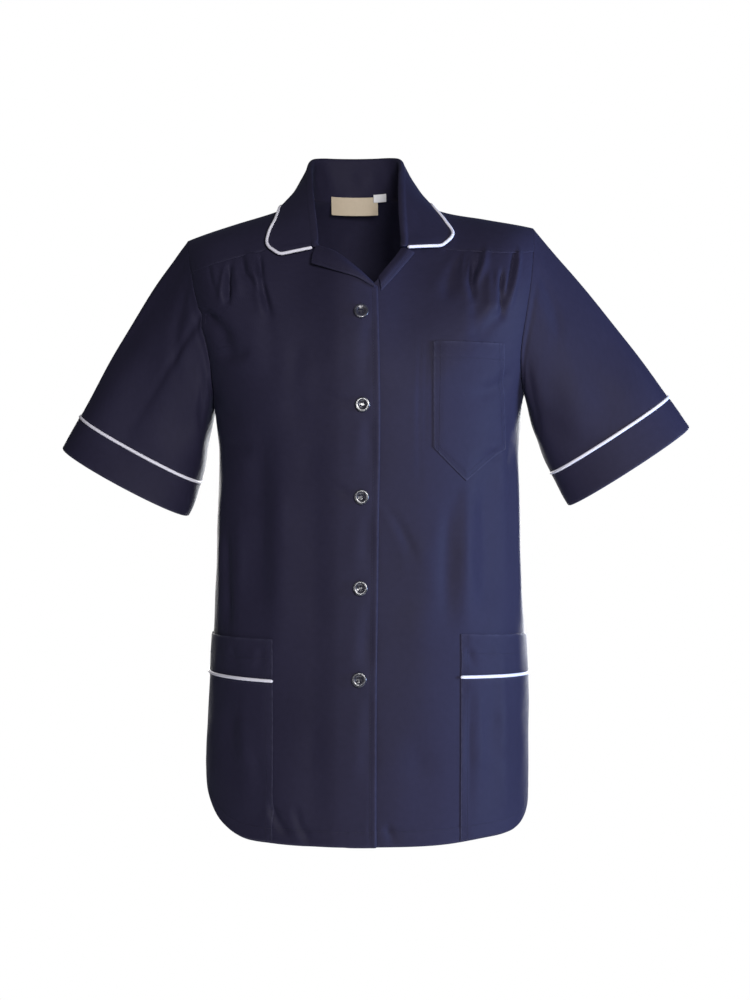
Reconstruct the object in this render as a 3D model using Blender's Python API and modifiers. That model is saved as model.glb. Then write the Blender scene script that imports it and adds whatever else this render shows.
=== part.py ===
"""A women's work tunic, worn: a hollow garment filled out with nobody in it.

Revere collar with piping, two shoulder yokes with unpressed tucks below them, a front that buttons
right over left, short sleeves with piped bands, a chest pocket and two piped hip pockets.

Lengths below are in millimetres and MM turns them into metres where a mesh is made. The wearer
faces -Y, so the wearer's right is at -X. The origin is the middle of the shoulder line at the foot
of the neck, where the wearer's shoulders carry the garment.
"""

import math
from collections import namedtuple

import bmesh
import bpy
import numpy as np

MM = 0.001
RIGHT, LEFT = -1, 1
FRONT, BACK = -1, 1

# Cloth and seams
CLOTH = 1.4
POCKET_CLOTH = 1.2
COLLAR_CLOTH = 1.8
LABEL_CLOTH = 1.0
SEAM = 0.3
HALF_SEAM = SEAM / 2
PIPING_RADIUS = 1.7
LAP_GAP = 1.5
POCKET_GAP = 0.8

# The worn form: one level section a row. Widths run from the centre to the wearer's right and left.
Section = namedtuple("Section", "height centre right left front back square")
SECTIONS = (
    Section(-664, 3.8, 170.5, 170.5, 146.0, 138.0, 2.25),
    Section(-600, 3.8, 171.5, 171.5, 145.0, 137.0, 2.25),
    Section(-540, 3.8, 169.5, 171.5, 143.0, 134.0, 2.25),
    Section(-490, 4.0, 167.5, 170.5, 140.0, 130.0, 2.25),
    Section(-440, 4.5, 166.0, 167.5, 137.0, 125.0, 2.25),
    Section(-390, 5.0, 164.5, 163.0, 134.0, 121.0, 2.25),
    Section(-335, 5.5, 163.5, 161.0, 133.0, 119.0, 2.25),
    Section(-285, 6.5, 162.0, 160.0, 133.0, 120.0, 2.25),
    Section(-250, 7.0, 163.0, 160.0, 134.0, 122.0, 2.25),
    Section(-208, 7.0, 169.0, 163.0, 134.0, 124.0, 2.2),
    Section(-160, 6.0, 181.0, 175.0, 133.0, 125.0, 2.2),
    Section(-100, 3.5, 193.0, 190.0, 131.0, 124.0, 2.2),
    Section(-40, 0.0, 197.0, 195.0, 130.0, 124.0, 2.2),
    Section(10, -6.5, 199.0, 197.0, 130.0, 124.0, 2.2),
    Section(70, -13.0, 200.0, 198.0, 130.0, 124.0, 2.2),
)

# The shoulder line, from the wearer's right to the left. Over the neck hole it only shapes the rest.
Shoulder = namedtuple("Shoulder", "across height")
SHOULDER = (
    Shoulder(-205, -35.5),
    Shoulder(-186, -28.3),
    Shoulder(-140, -13.0),
    Shoulder(-90, 2.6),
    Shoulder(-60, 15.0),
    Shoulder(-36, 33.0),
    Shoulder(-7, 46.0),
    Shoulder(22, 33.0),
    Shoulder(46, 15.0),
    Shoulder(83, 0.0),
    Shoulder(130, -9.0),
    Shoulder(176, -17.5),
    Shoulder(200, -23.0),
)

# How far below the shoulder line the form reaches its full depth, and how round it turns there.
Fall = namedtuple("Fall", "across front back bend_front bend_back")
FALLS = (
    Fall(-205, 78, 76, 2.0, 2.0),
    Fall(-170, 92, 90, 1.9, 2.0),
    Fall(-115, 160, 125, 1.7, 2.0),
    Fall(-60, 205, 155, 1.6, 2.0),
    Fall(0, 215, 170, 1.6, 2.0),
    Fall(60, 205, 155, 1.6, 2.0),
    Fall(115, 160, 125, 1.7, 2.0),
    Fall(170, 92, 90, 1.9, 2.0),
    Fall(205, 78, 76, 2.0, 2.0),
)

# Soft upright folds of the hanging cloth, where they are deep enough to change the form.
Fold = namedtuple("Fold", "facing angle top bottom width depth")
FOLDS = (
    Fold(FRONT, 79, -235, -455, 17, 3.5),
    Fold(FRONT, 58, -270, -450, 22, -3.5),
    Fold(FRONT, 38, -300, -450, 24, 2.5),
    Fold(FRONT, -44, -250, -450, 26, -3.5),
    Fold(FRONT, -66, -240, -450, 24, 2.5),
    Fold(BACK, -58, -180, -560, 26, -4.0),
    Fold(BACK, -30, -230, -620, 28, 3.5),
    Fold(BACK, 4, -200, -600, 26, -3.0),
    Fold(BACK, 33, -220, -610, 28, 3.5),
    Fold(BACK, 60, -170, -540, 26, -4.0),
)
FOLD_FADE = 70.0

# Hem heights by angle from the front or back centre, with rounded corners at the side seams.
Hem = namedtuple("Hem", "angle right left")
HEM = (
    Hem(0, -664.0, -664.0),
    Hem(28, -663.0, -662.5),
    Hem(45, -659.5, -659.0),
    Hem(58, -647.5, -657.0),
    Hem(68, -631.5, -653.5),
    Hem(77, -613.0, -645.0),
    Hem(90, -584.0, -627.0),
)

# Each armhole from the underarm to the shoulder tip: share of its height, and angle in from the
# side on the front and the back.
Armhole = namedtuple("Armhole", "way share front back")
ARMHOLE = (
    Armhole(0.00, 0.000, 90.0, 90.0),
    Armhole(0.10, 0.018, 82.0, 82.5),
    Armhole(0.20, 0.080, 74.0, 75.5),
    Armhole(0.30, 0.180, 68.5, 71.0),
    Armhole(0.42, 0.320, 65.5, 68.5),
    Armhole(0.56, 0.500, 65.0, 67.5),
    Armhole(0.70, 0.680, 66.5, 68.0),
    Armhole(0.85, 0.860, 68.5, 69.0),
    Armhole(1.00, 1.000, 69.5, 69.5),
)
# Height of each underarm, and the degrees by which each shoulder tip lies further round.
UNDERARM = {RIGHT: -208.0, LEFT: -198.0}
TIP_OUT = {RIGHT: 4.0, LEFT: 0.0}

# Yoke seam: how far it lies below the shoulder line at the neck and at the armhole.
YOKE_DROP = {RIGHT: (46.0, 41.0), LEFT: (48.0, 27.0)}

# Front neckline: how far out it lies, by how far it has dropped below the shoulder line.
Neckline = namedtuple("Neckline", "drop across")
NECKLINE = (
    Neckline(0, 52.0),
    Neckline(12, 52.5),
    Neckline(26, 52.0),
    Neckline(38, 50.5),
    Neckline(50, 48.5),
    Neckline(72, 45.5),
)
NECK_HALF_WIDTH = 52.0
BACK_NECK_DEPTH = 61.0

# Where each front turns back into its lapel, from the break of the front up to the collar.
Roll = namedtuple("Roll", "way across height")
ROLLS = {
    RIGHT: (
        Roll(0.00, 19.0, -91.0),
        Roll(0.30, -3.0, -71.0),
        Roll(0.62, -22.0, -56.5),
        Roll(1.00, -45.0, -47.0),
    ),
    LEFT: (
        Roll(0.00, -13.5, -117.0),
        Roll(0.22, 3.0, -101.0),
        Roll(0.44, 17.5, -86.5),
        Roll(0.64, 28.0, -73.0),
        Roll(0.86, 40.4, -56.5),
        Roll(1.00, 46.3, -47.0),
    ),
}
OVERLAP = 17.0
LAP_LIFT = CLOTH + LAP_GAP
LAP_RAMP = (-50.0, -21.0)

# Unpressed tucks below the yoke: place between front edge and armhole, and size.
Tuck = namedtuple("Tuck", "side place width depth length")
TUCKS = (
    Tuck(RIGHT, 0.43, 6.5, 3.6, 64),
    Tuck(RIGHT, 0.72, 6.0, 3.0, 40),
    Tuck(LEFT, 0.47, 6.0, 3.6, 52),
    Tuck(LEFT, 0.77, 6.5, 3.8, 84),
)
TUCK_STEPS = (-1.7, -0.75, 0.0, 0.6, 1.6)
FRONT_SPAN = 130.0
COLUMN_CLEAR = 0.02

# Rows and columns of the panels' grids
FRONT_COLUMNS = 15
FRONT_LOW_ROWS = 12
EDGE_ROWS = 4
ROLL_ROWS = 5
YOKE_COLUMNS = 8
YOKE_ROWS = 5
BACK_COLUMNS = 12
NECK_COLUMNS = 4
BACK_LOW_ROWS = 11
BACK_HIGH_ROWS = 11

# Sleeves: hem centre, direction from the inner to the outer end of the hem, and sizes.
Sleeve = namedtuple("Sleeve", "centre_x centre_z outer_x outer_z half_width half_depth tilt")
SLEEVES = {
    RIGHT: Sleeve(-259.2, -290.7, -0.881, 0.474, 78.0, 44.0, 4.0),
    LEFT: Sleeve(284.4, -274.3, 0.839, 0.544, 77.0, 44.0, 4.0),
}
SHOULDER_ROUND = {RIGHT: 0.5, LEFT: 0.22}
ARMPIT_LEAN = math.radians(14)
CUFF = 39.0
SLEEVE_ROWS = (0, 0.07, 0.16, 0.28, 0.42, 0.58, 0.74, 0.88, 1.0)
UNDERARM_BULGE = 0.35

# Collar by way round from the back centre (0) to its front end (1): roll line, and the outer edge
# in plan on the wearer's right and left. The neck seam comes from the neckline, and the edge's
# height from the form it lies on.
Collar = namedtuple("Collar", "way roll_x roll_y roll_z right_x right_y left_x left_y")
COLLAR = (
    Collar(0.00, 0.0, 68.0, 66.5, 0.0, 86.0, 0.0, 86.0),
    Collar(0.12, 20.0, 67.5, 66.7, 27.0, 78.0, 27.0, 78.0),
    Collar(0.24, 39.0, 63.0, 66.6, 49.0, 58.5, 48.5, 58.5),
    Collar(0.32, 48.0, 52.0, 64.2, 62.0, 45.0, 61.0, 45.0),
    Collar(0.42, 50.5, 33.0, 55.5, 73.0, 25.5, 70.5, 25.5),
    Collar(0.54, 50.0, 9.0, 42.0, 79.5, 2.0, 74.0, 2.0),
    Collar(0.66, 49.0, -15.0, 25.0, 82.5, -20.0, 79.0, -20.0),
    Collar(0.78, 48.0, -38.0, 6.0, 87.0, -40.0, 89.0, -38.0),
    Collar(0.88, 47.0, -58.0, -14.0, 94.0, -55.0, 96.0, -50.0),
    Collar(0.95, 46.3, -73.0, -31.0, 95.5, -65.0, 94.0, -56.0),
    Collar(0.98, 45.9, -80.5, -40.0, 92.0, -69.5, 91.5, -59.5),
    Collar(1.00, 45.7, -86.0, -46.0, 85.5, -74.4, 86.5, -64.0),
)
EDGE_LIFT = 4.6
FOLD_RADIUS = 2.2
FALL_BULGE = 2.5
NECK_GAP = 0.7
COLLAR_STATIONS = (0.08, 0.16, 0.24, 0.3, 0.36, 0.44, 0.52, 0.6, 0.69, 0.78, 0.86, 0.92, 0.955, 0.98, 1.0)
STAND_SHARES = (0, 0.35, 0.7)
FALL_SHARES = (0.25, 0.5, 0.75, 1.0)
FOLD_TURNS = 5
NECK_END_LIFT = 2.4
NECK_END_DROP = {RIGHT: 72.0, LEFT: 61.0}

# Lapels: outer edge beside the roll line, from the break up, and how far they stand off.
Lapel = namedtuple("Lapel", "way roll edge_x edge_z lift_roll lift_edge")
LAPELS = {
    RIGHT: (
        Lapel(0.0, 0.04, 17.5, -93.0, 3.2, 3.8),
        Lapel(0.3, 0.28, 1.0, -83.5, 3.8, 5.6),
        Lapel(0.7, 0.65, -23.0, -75.0, 3.8, 6.5),
        Lapel(1.0, 0.97, -46.5, -67.0, 4.0, 6.5),
    ),
    LEFT: (
        Lapel(0.0, 0.52, 24.5, -95.0, 1.2, 1.6),
        Lapel(0.5, 0.75, 41.0, -75.0, 2.4, 3.4),
        Lapel(1.0, 0.96, 56.5, -55.0, 3.0, 4.2),
    ),
}

LAPEL_ROWS = 8
LAPEL_COLUMNS = 5
LAPEL_BULGE = 2.0

# Chest pocket on the wearer's left: across and height of its corners.
CHEST_POCKET_ACROSS = (79.0, 151.0)
CHEST_POCKET_TOP = -148.0
CHEST_POCKET_CORNER = -257.0
CHEST_POCKET_POINT = (112.0, -291.0)

# Hip pockets: inner edge, and the heights of top and piping at the inner edge and the side.
HipPocket = namedtuple("HipPocket", "inner top_inner top_side piping_inner piping_side")
HIP_POCKETS = {
    RIGHT: HipPocket(-86.0, -455.0, -453.5, -497.5, -493.5),
    LEFT: HipPocket(107.0, -449.0, -454.5, -493.0, -495.5),
}
POCKET_HEM_GAP = 1.5

# Buttons down the centre front, with four holes.
BUTTON_HEIGHTS = (-118.0, -213.5, -308.0, -401.5, -494.5)
BUTTON_RADIUS = 7.8
BUTTON_THICK = 2.8
HOLE_RADIUS = 0.95
HOLE_SPACING = 1.7
BUTTON_STEPS = 16
HOLE_SIDES = 6

# Label and tab inside the back neck.
LABEL_ACROSS = (-38.5, 11.8)
LABEL_HEIGHTS = (3.5, 22.5)
TAB_ACROSS = (7.5, 21.5)
TAB_HEIGHTS = (17.0, 25.0)
LABEL_INSIDE = 5.0
LABEL_SLOPE = 0.3

Look = namedtuple("Look", "colour roughness")
LOOKS = {
    "cloth": Look((0.026, 0.025, 0.050, 1.0), 0.68),
    "piping": Look((0.76, 0.74, 0.84, 1.0), 0.45),
    "button": Look((0.012, 0.012, 0.020, 1.0), 0.18),
    "label": Look((0.60, 0.50, 0.34, 1.0), 0.75),
    "tab": Look((0.85, 0.85, 0.86, 1.0), 0.70),
}


def through(rows, place):
    """The smooth curve through rows, read at a place in their first column."""
    rows = np.asarray(rows, float)
    start, values = rows[:, 0], rows[:, 1:]
    step = np.diff(start)
    slope = np.diff(values, axis=0) / step[:, None]
    lean = np.vstack([slope[:1], slope[:1], slope[1:]])[: len(rows)]
    lean[-1] = slope[-1]
    before, after = step[:-1, None], step[1:, None]
    lean[1:-1] = (slope[:-1] * after + slope[1:] * before) / (before + after)
    place = np.clip(np.asarray(place, float), start[0], start[-1])
    row = np.clip(np.searchsorted(start, place, side="right") - 1, 0, len(step) - 1)
    width = step[row]
    part = ((place - start[row]) / width)[..., None]
    width = width[..., None]
    return (
        values[row] * (1 + 2 * part) * (1 - part) ** 2
        + values[row + 1] * part**2 * (3 - 2 * part)
        + lean[row] * width * part * (1 - part) ** 2
        - lean[row + 1] * width * part**2 * (1 - part)
    )


def ease(low, high, value):
    """0 below low, 1 above high, and smooth between."""
    part = np.clip((np.asarray(value, float) - low) / (high - low), 0, 1)
    return part * part * (3 - 2 * part)


def unit(vectors):
    """Vectors brought to a length of 1."""
    return vectors / np.maximum(np.linalg.norm(vectors, axis=-1, keepdims=True), 1e-9)


def section(height):
    """The level section at a height."""
    return Section(height, *np.moveaxis(through(SECTIONS, height), -1, 0))


def shoulder(across):
    """Height of the shoulder line at a sideways place."""
    return through(SHOULDER, across)[..., 0]


def across_at(angle, height):
    """Sideways place of an angle from the front or back centre, minus towards the right."""
    at = section(height)
    width = np.where(angle < 0, at.right, at.left)
    return at.centre + width * np.sign(angle) * np.abs(np.sin(angle)) ** (2 / at.square)


def angle_at(across, height):
    """The angle of a sideways place at a height."""
    at = section(height)
    width = np.where(across < at.centre, at.right, at.left)
    share = np.clip(np.abs(across - at.centre) / width, 0, 1)
    return np.sign(across - at.centre) * np.arcsin(share ** (at.square / 2))


def form_terms(facing, across, height):
    """What shapes the depth: nearness to the centre, drop below the shoulder, and full depth."""
    at = section(height)
    width = np.where(across < at.centre, at.right, at.left)
    inward = 1 - np.abs((across - at.centre) / width) ** at.square
    fall = Fall(across, *np.moveaxis(through(FALLS, across), -1, 0))
    reach = fall.front if facing == FRONT else fall.back
    bend = fall.bend_front if facing == FRONT else fall.bend_back
    below = np.minimum((shoulder(across) - height) / reach, 1)
    dropped = 1 - (1 - below) ** bend
    depth = at.front if facing == FRONT else at.back
    return inward, dropped, depth, at.square, bend


def outward(facing, across, height):
    """Unit normals of the form, level and smooth across the side and shoulder seams too."""
    step = 0.4
    inward, dropped, depth, square, bend = form_terms(facing, across, height)
    inward, dropped = np.maximum(inward, 0), np.maximum(dropped, 0)
    left, right = (form_terms(facing, across + side * step, height) for side in (1, -1))
    above, below = (form_terms(facing, across, height + side * step) for side in (1, -1))
    slopes = []
    for high, low in ((left, right), (above, below)):
        inward_slope = (high[0] - low[0]) / (2 * step)
        dropped_slope = (high[1] - low[1]) / (2 * step)
        depth_slope = (high[2] - low[2]) / (2 * step)
        slopes.append(
            depth_slope * inward * dropped
            + depth * (inward_slope * dropped / square + inward * dropped_slope / bend)
        )
    level = inward ** (1 - 1 / square) * dropped ** (1 - 1 / bend)
    return unit(np.stack([-slopes[0], facing * level, -slopes[1]], axis=-1))


def fold_lift(facing, angle, height):
    """How far the soft folds stand out from the form or in."""
    lift = np.zeros(np.broadcast(angle, height).shape)
    for fold in FOLDS:
        if fold.facing != facing:
            continue
        away = (angle - math.radians(fold.angle)) * section(height).right / fold.width
        inside = ease(fold.bottom, fold.bottom + FOLD_FADE, height)
        inside = inside * (1 - ease(fold.top - FOLD_FADE, fold.top, height))
        lift = lift + fold.depth * np.exp(-(away**2)) * inside
    return lift


def lie(facing, angle, height, lift=0.0):
    """Points on the worn form at an angle and height, lifted off it by a distance."""
    angle, height = np.broadcast_arrays(np.asarray(angle, float), np.asarray(height, float))
    across = across_at(angle, height)
    inward, dropped, depth, square, bend = form_terms(facing, across, height)
    depth = depth * np.maximum(inward, 0) ** (1 / square) * np.maximum(dropped, 0) ** (1 / bend)
    base = np.stack([across, facing * depth, height], axis=-1)
    lift = np.asarray(lift, float) + fold_lift(facing, angle, height)
    return base + outward(facing, across, height) * lift[..., None]


def height_below(angle, drop):
    """The height that lies a drop below the shoulder line at an angle."""
    height = np.zeros(np.broadcast(angle, drop).shape) - 20.0
    for _ in range(6):
        height = shoulder(across_at(angle, height)) - drop
    return height


def height_at_depth(facing, across, depth):
    """The height at which the form comes a depth forward or back from the shoulder line."""
    height = shoulder(across) - 10.0
    for _ in range(12):
        inward, _, full, square, bend = form_terms(facing, across, height)
        share = np.clip(depth / (full * np.maximum(inward, 1e-6) ** (1 / square)), 0, 1)
        fall = through(FALLS, across)[..., 0 if facing == FRONT else 1]
        height = shoulder(across) - fall * (1 - (1 - share**bend) ** (1 / bend))
    return height


def seam_height(facing, angle):
    """Height of a panel's top edge at the shoulder seam, half a seam from the other's."""
    across = across_at(angle, height_below(angle, 0.0))
    return height_at_depth(facing, across, HALF_SEAM)


def armhole(side, facing, way):
    """Angle and height along an armhole, from the underarm (0) to the shoulder tip (1)."""
    rows = through(ARMHOLE, way)
    turned = rows[..., 1] if facing == FRONT else rows[..., 2]
    angle = side * np.radians(turned + TIP_OUT[side] * rows[..., 0] ** 3)
    tip = height_below(side * math.radians(ARMHOLE[-1].front + TIP_OUT[side]), 0.0)
    return angle, UNDERARM[side] + (tip - UNDERARM[side]) * rows[..., 0]


def seam_angle(facing, height):
    """Angle at which the form comes within half a seam of the side."""
    at = section(height)
    depth = at.front if facing == FRONT else at.back
    return math.pi / 2 - (HALF_SEAM / depth) ** (at.square / 2)


def neckline(side, drop):
    """Angle and height of the front neckline at a drop below the shoulder line."""
    out = through(NECKLINE, drop)[..., 0]
    height = -10.0 * np.ones_like(out)
    for _ in range(6):
        across = section(height).centre + side * out
        height = shoulder(across) - drop
    return angle_at(across, height), height


def back_neck(round_share):
    """Angle and height of the back neckline, -1 at the right shoulder seam to 1 at the left."""
    turn = np.asarray(round_share, float) * math.pi / 2
    behind = np.maximum(BACK_NECK_DEPTH * np.cos(turn), HALF_SEAM)
    height = np.full(turn.shape, 15.0)
    for _ in range(6):
        across = section(height).centre + NECK_HALF_WIDTH * np.sin(turn)
        height = height_at_depth(BACK, across, behind)
    return angle_at(across, height), height


def yoke_seam(side, angle):
    """Height of the yoke seam at an angle."""
    inner, outer = YOKE_DROP[side]
    tip = abs(math.radians(ARMHOLE[-1].front))
    share = np.clip(np.abs(angle) / tip, 0, 1)
    return height_below(angle, inner + (outer - inner) * share**2)


def armhole_way_at_yoke(side):
    """How far up the armhole the yoke seam meets it."""
    ways = np.linspace(0.5, 1.0, 501)
    angle, height = armhole(side, FRONT, ways)
    return float(np.interp(0, height - yoke_seam(side, angle), ways))


def quick_then_slow(steps):
    """Shares from 0 to 1 that close up towards 1, where the form turns over the shoulder."""
    return np.sin(np.linspace(0, math.pi / 2, steps + 1))


def yoke_ways(side):
    """Places up the armhole where the yoke's rows meet it."""
    low = armhole_way_at_yoke(side)
    return low + (1 - low) * quick_then_slow(YOKE_ROWS)


def front_ways(side):
    """Places up the armhole where the front's rows meet it."""
    return np.linspace(0, armhole_way_at_yoke(side), EDGE_ROWS + ROLL_ROWS + 2)


def neck_drop_at_yoke(side):
    """How far the neckline has dropped where the yoke seam meets it."""
    drops = np.linspace(30, 60, 301)
    angle, height = neckline(side, drops)
    return float(np.interp(0, yoke_seam(side, angle) - height, drops))


def roll_line(side, way):
    """Sideways place and height along a front's roll line."""
    rows = through(ROLLS[side], way)
    return rows[..., 0], rows[..., 1]


def front_edge(side, height):
    """Sideways place of a front's buttoning edge, past the centre by the overlap."""
    return section(height).centre - side * OVERLAP


def hem_height(side, angle):
    """Height of the hem at an angle."""
    rows = through(HEM, np.degrees(np.abs(angle)))
    return rows[..., 0] if side == RIGHT else rows[..., 1]


def tuck_lift(side, place, below):
    """The tucks' ridges and hollows, at a distance below the yoke seam.

    Each ridge lies on its hollow's side towards the wearer's left.
    """
    lift = np.zeros(np.broadcast(place, below).shape)
    for tuck in TUCKS:
        if tuck.side != side:
            continue
        away = side * (place - tuck.place) * FRONT_SPAN / tuck.width
        shape = np.exp(-((away - 0.6) ** 2) / 0.45) - 0.75 * np.exp(-((away + 0.35) ** 2) / 0.2)
        fade = (0.55 + 0.45 * ease(0, 14, below)) * (1 - ease(0.25 * tuck.length, tuck.length, below))
        lift = lift + tuck.depth * shape * fade
    return lift


def front_columns(side):
    """Places of a front's columns from its edge (0) to the side (1), close together at tucks."""
    places = list(np.linspace(0, 1, FRONT_COLUMNS + 1))
    for tuck in TUCKS:
        if tuck.side == side:
            near = sorted(tuck.place + side * step * tuck.width / FRONT_SPAN for step in TUCK_STEPS)
            clear = (near[0] - COLUMN_CLEAR, near[-1] + COLUMN_CLEAR)
            places = [p for p in places if not clear[0] < p < clear[1]] + near
    return np.array(sorted(places))


def front_rows(side):
    """Inner and outer ends, as angles and heights, of a front's rows above the underarm."""
    level = UNDERARM[side]
    edge_heights = np.linspace(level, ROLLS[side][0].height, EDGE_ROWS + 1)
    edge_angles = angle_at(front_edge(side, edge_heights), edge_heights)
    across, height = roll_line(side, np.linspace(0, 1, ROLL_ROWS + 1)[1:])
    neck_angle, neck_height = neckline(side, neck_drop_at_yoke(side))
    angles = np.concatenate([edge_angles, angle_at(across, height), [neck_angle]])
    heights = np.concatenate([edge_heights, height, [neck_height]])
    outer_angles, outer_heights = armhole(side, FRONT, front_ways(side))
    outer_angles[0] = side * seam_angle(FRONT, level)
    return angles, heights, outer_angles, outer_heights


def front_grid(side, places):
    """Angle, height and lift of every point of a front's outer face, hem first."""
    inner_angle, inner_height, outer_angle, outer_height = front_rows(side)
    rise = np.linspace(0, 1, len(inner_angle))[:, None]
    angle = inner_angle[:, None] * (1 - places) + outer_angle[:, None] * places
    height = inner_height[:, None] * (1 - places) + outer_height[:, None] * places
    top = yoke_seam(side, angle[-1]) - SEAM
    height = height + rise * (top - height[-1])
    lower_share = np.linspace(0, 1, FRONT_LOW_ROWS + 1)[:-1, None]
    hem = hem_height(side, angle[0])
    low_height = hem + (height[0] - hem) * lower_share
    edge_low = angle_at(front_edge(side, low_height[:, :1]), low_height[:, :1])
    side_low = side * seam_angle(FRONT, low_height[:, -1:])
    low_angle = edge_low * (1 - places) + side_low * places
    angle = np.vstack([low_angle, angle])
    height = np.vstack([low_height, height])
    below = height[-1] - height
    lift = tuck_lift(side, places, np.maximum(below, 0))
    if side == RIGHT:
        past = across_at(angle, height) - section(height).centre
        lift = lift + LAP_LIFT * ease(*LAP_RAMP, past)
    return angle, height, lift


def back_grid():
    """Angle and height of every point of the back's outer face, hem first."""
    neck = NECK_COLUMNS / BACK_COLUMNS
    shares = np.linspace(-1, 1, 2 * BACK_COLUMNS + 1)
    sides = np.where(shares < 0, RIGHT, LEFT)
    place = np.abs(shares)
    ways = quick_then_slow(BACK_HIGH_ROWS)
    angle = np.zeros((len(ways), len(shares)))
    height = np.zeros_like(angle)
    neck_angle, neck_height = back_neck(np.clip(shares / neck, -1, 1))
    for column, (side, out) in enumerate(zip(sides, place)):
        edge_angle, edge_height = armhole(side, BACK, ways)
        edge_angle[0] = side * seam_angle(BACK, UNDERARM[side])
        if out <= neck:
            top_angle, top_height = neck_angle[column], neck_height[column]
        else:
            corner = back_neck(float(side))[0]
            top_angle = corner + (edge_angle[-1] - corner) * (out - neck) / (1 - neck)
            top_height = seam_height(BACK, top_angle)
        base_angle = edge_angle[0] * out
        base_height = edge_height[0]
        drift = (edge_angle - edge_angle[0]) * out
        correction = top_angle - (base_angle + drift[-1])
        angle[:, column] = base_angle + drift + correction * ways
        height[:, column] = base_height + (top_height - base_height) * ways
        share = ease(0.55, 1.0, out)
        height[:, column] += share * (edge_height - base_height - (edge_height[-1] - base_height) * ways)
    lower_share = np.linspace(0, 1, BACK_LOW_ROWS + 1)[:-1, None]
    hem = np.where(sides == RIGHT, hem_height(RIGHT, angle[0]), hem_height(LEFT, angle[0]))
    low_height = hem + (height[0] - hem) * lower_share
    low_angle = shares * seam_angle(BACK, low_height)
    return np.vstack([low_angle, angle]), np.vstack([low_height, height])


def yoke_grid(side):
    """Angle and height of every point of a yoke's outer face, yoke seam first."""
    share = np.linspace(0, 1, YOKE_COLUMNS + 1)
    rise = quick_then_slow(YOKE_ROWS)
    inner_angle, inner_height = neckline(side, neck_drop_at_yoke(side) * (1 - rise))
    outer_angle, outer_height = armhole(side, FRONT, yoke_ways(side))
    angle = inner_angle[:, None] * (1 - share) + outer_angle[:, None] * share
    low = yoke_seam(side, angle[0])
    high = seam_height(FRONT, angle[-1])
    height = low + (high - low) * rise[:, None]
    edge = outer_height - (outer_height[0] + (outer_height[-1] - outer_height[0]) * rise)
    height = height + edge[:, None] * ease(0.5, 1.0, share)
    neck = inner_height - (inner_height[0] + (inner_height[-1] - inner_height[0]) * rise)
    height = height + neck[:, None] * (1 - ease(0.0, 0.5, share))
    return angle, height


def grid_normals(points, closed=False):
    """Unit normals of a grid of points. A closed grid's last column meets its first."""
    if closed:
        along = np.roll(points, -1, axis=1) - np.roll(points, 1, axis=1)
    else:
        along = np.gradient(points, axis=1)
    return unit(np.cross(np.gradient(points, axis=0), along))


def make_object(name, points, faces, look, smooth_angle=40):
    """A named mesh object of the tunic, from points in millimetres and faces."""
    mesh = bpy.data.meshes.new(name)
    mesh.from_pydata((np.asarray(points) * MM).tolist(), [], [tuple(map(int, f)) for f in faces])
    work = bmesh.new()
    work.from_mesh(mesh)
    bmesh.ops.recalc_face_normals(work, faces=work.faces)
    work.to_mesh(mesh)
    work.free()
    mesh.shade_smooth()
    mesh.set_sharp_from_angle(angle=math.radians(smooth_angle))
    thing = bpy.data.objects.new(name, mesh)
    return finish(thing, look)


def finish(thing, look):
    """Gives an object its own material and puts it in the tunic's collection."""
    material = bpy.data.materials.new(thing.name)
    material.use_nodes = True
    shader = material.node_tree.nodes["Principled BSDF"]
    shader.inputs["Base Color"].default_value = LOOKS[look].colour
    shader.inputs["Roughness"].default_value = LOOKS[look].roughness
    shader.inputs["Metallic"].default_value = 0.0
    material.diffuse_color = LOOKS[look].colour
    thing.data.materials.append(material)
    tunic.objects.link(thing)
    thing.parent = mount
    return thing


def wall(name, outer, inner, look="cloth", closed=False):
    """A closed solid between two grids of points. A closed wall is a tube, open at both ends."""
    rows, columns = outer.shape[:2]
    count = rows * columns
    points = np.concatenate([outer.reshape(-1, 3), inner.reshape(-1, 3)])
    index = np.arange(count).reshape(rows, columns)
    if closed:
        index = np.hstack([index, index[:, :1]])
    cells = np.stack([index[:-1, :-1], index[:-1, 1:], index[1:, 1:], index[1:, :-1]], axis=-1)
    outside = cells.reshape(-1, 4)
    faces = list(outside) + list(outside[:, ::-1] + count)
    rims = [index[0], index[-1]]
    if not closed:
        rims += [index[:, 0], index[:, -1]]
    for rim in rims:
        faces += [(b, a, a + count, b + count) for a, b in zip(rim[:-1], rim[1:])]
    return make_object(name, points, faces, look)


def panel(name, facing, angle, height, lift, thickness):
    """A wall on the worn form, its outer face at a lift and its inner face nearer the wearer."""
    outer = lie(facing, angle, height, lift)
    inner = lie(facing, angle, height, lift - thickness)
    return wall(name, outer, inner)


def sheet(name, points, thickness, look="cloth"):
    """A wall half its thickness to each side of a grid of points."""
    normals = grid_normals(points)
    return wall(name, points + normals * thickness / 2, points - normals * thickness / 2, look)


def piping(name, points, closed=False):
    """A round cord through points, with filled ends unless it closes on itself."""
    curve = bpy.data.curves.new(name, "CURVE")
    curve.dimensions = "3D"
    curve.bevel_depth = PIPING_RADIUS * MM
    curve.bevel_resolution = 1
    curve.use_fill_caps = True
    line = curve.splines.new("POLY")
    line.points.add(len(points) - 1)
    for point, place in zip(line.points, points):
        point.co = (*(place * MM), 1.0)
    line.use_cyclic_u = closed
    thing = bpy.data.objects.new(name, curve)
    return finish(thing, "piping")


def make_fronts():
    """The two fronts, the wearer's right lapping over the left."""
    for side, name in ((RIGHT, "front_right"), (LEFT, "front_left")):
        angle, height, lift = front_grid(side, front_columns(side))
        panel(name, FRONT, angle, height, lift, CLOTH)


def make_back():
    """The back, one plain panel."""
    angle, height = back_grid()
    panel("back", BACK, angle, height, 0.0, CLOTH)


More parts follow.
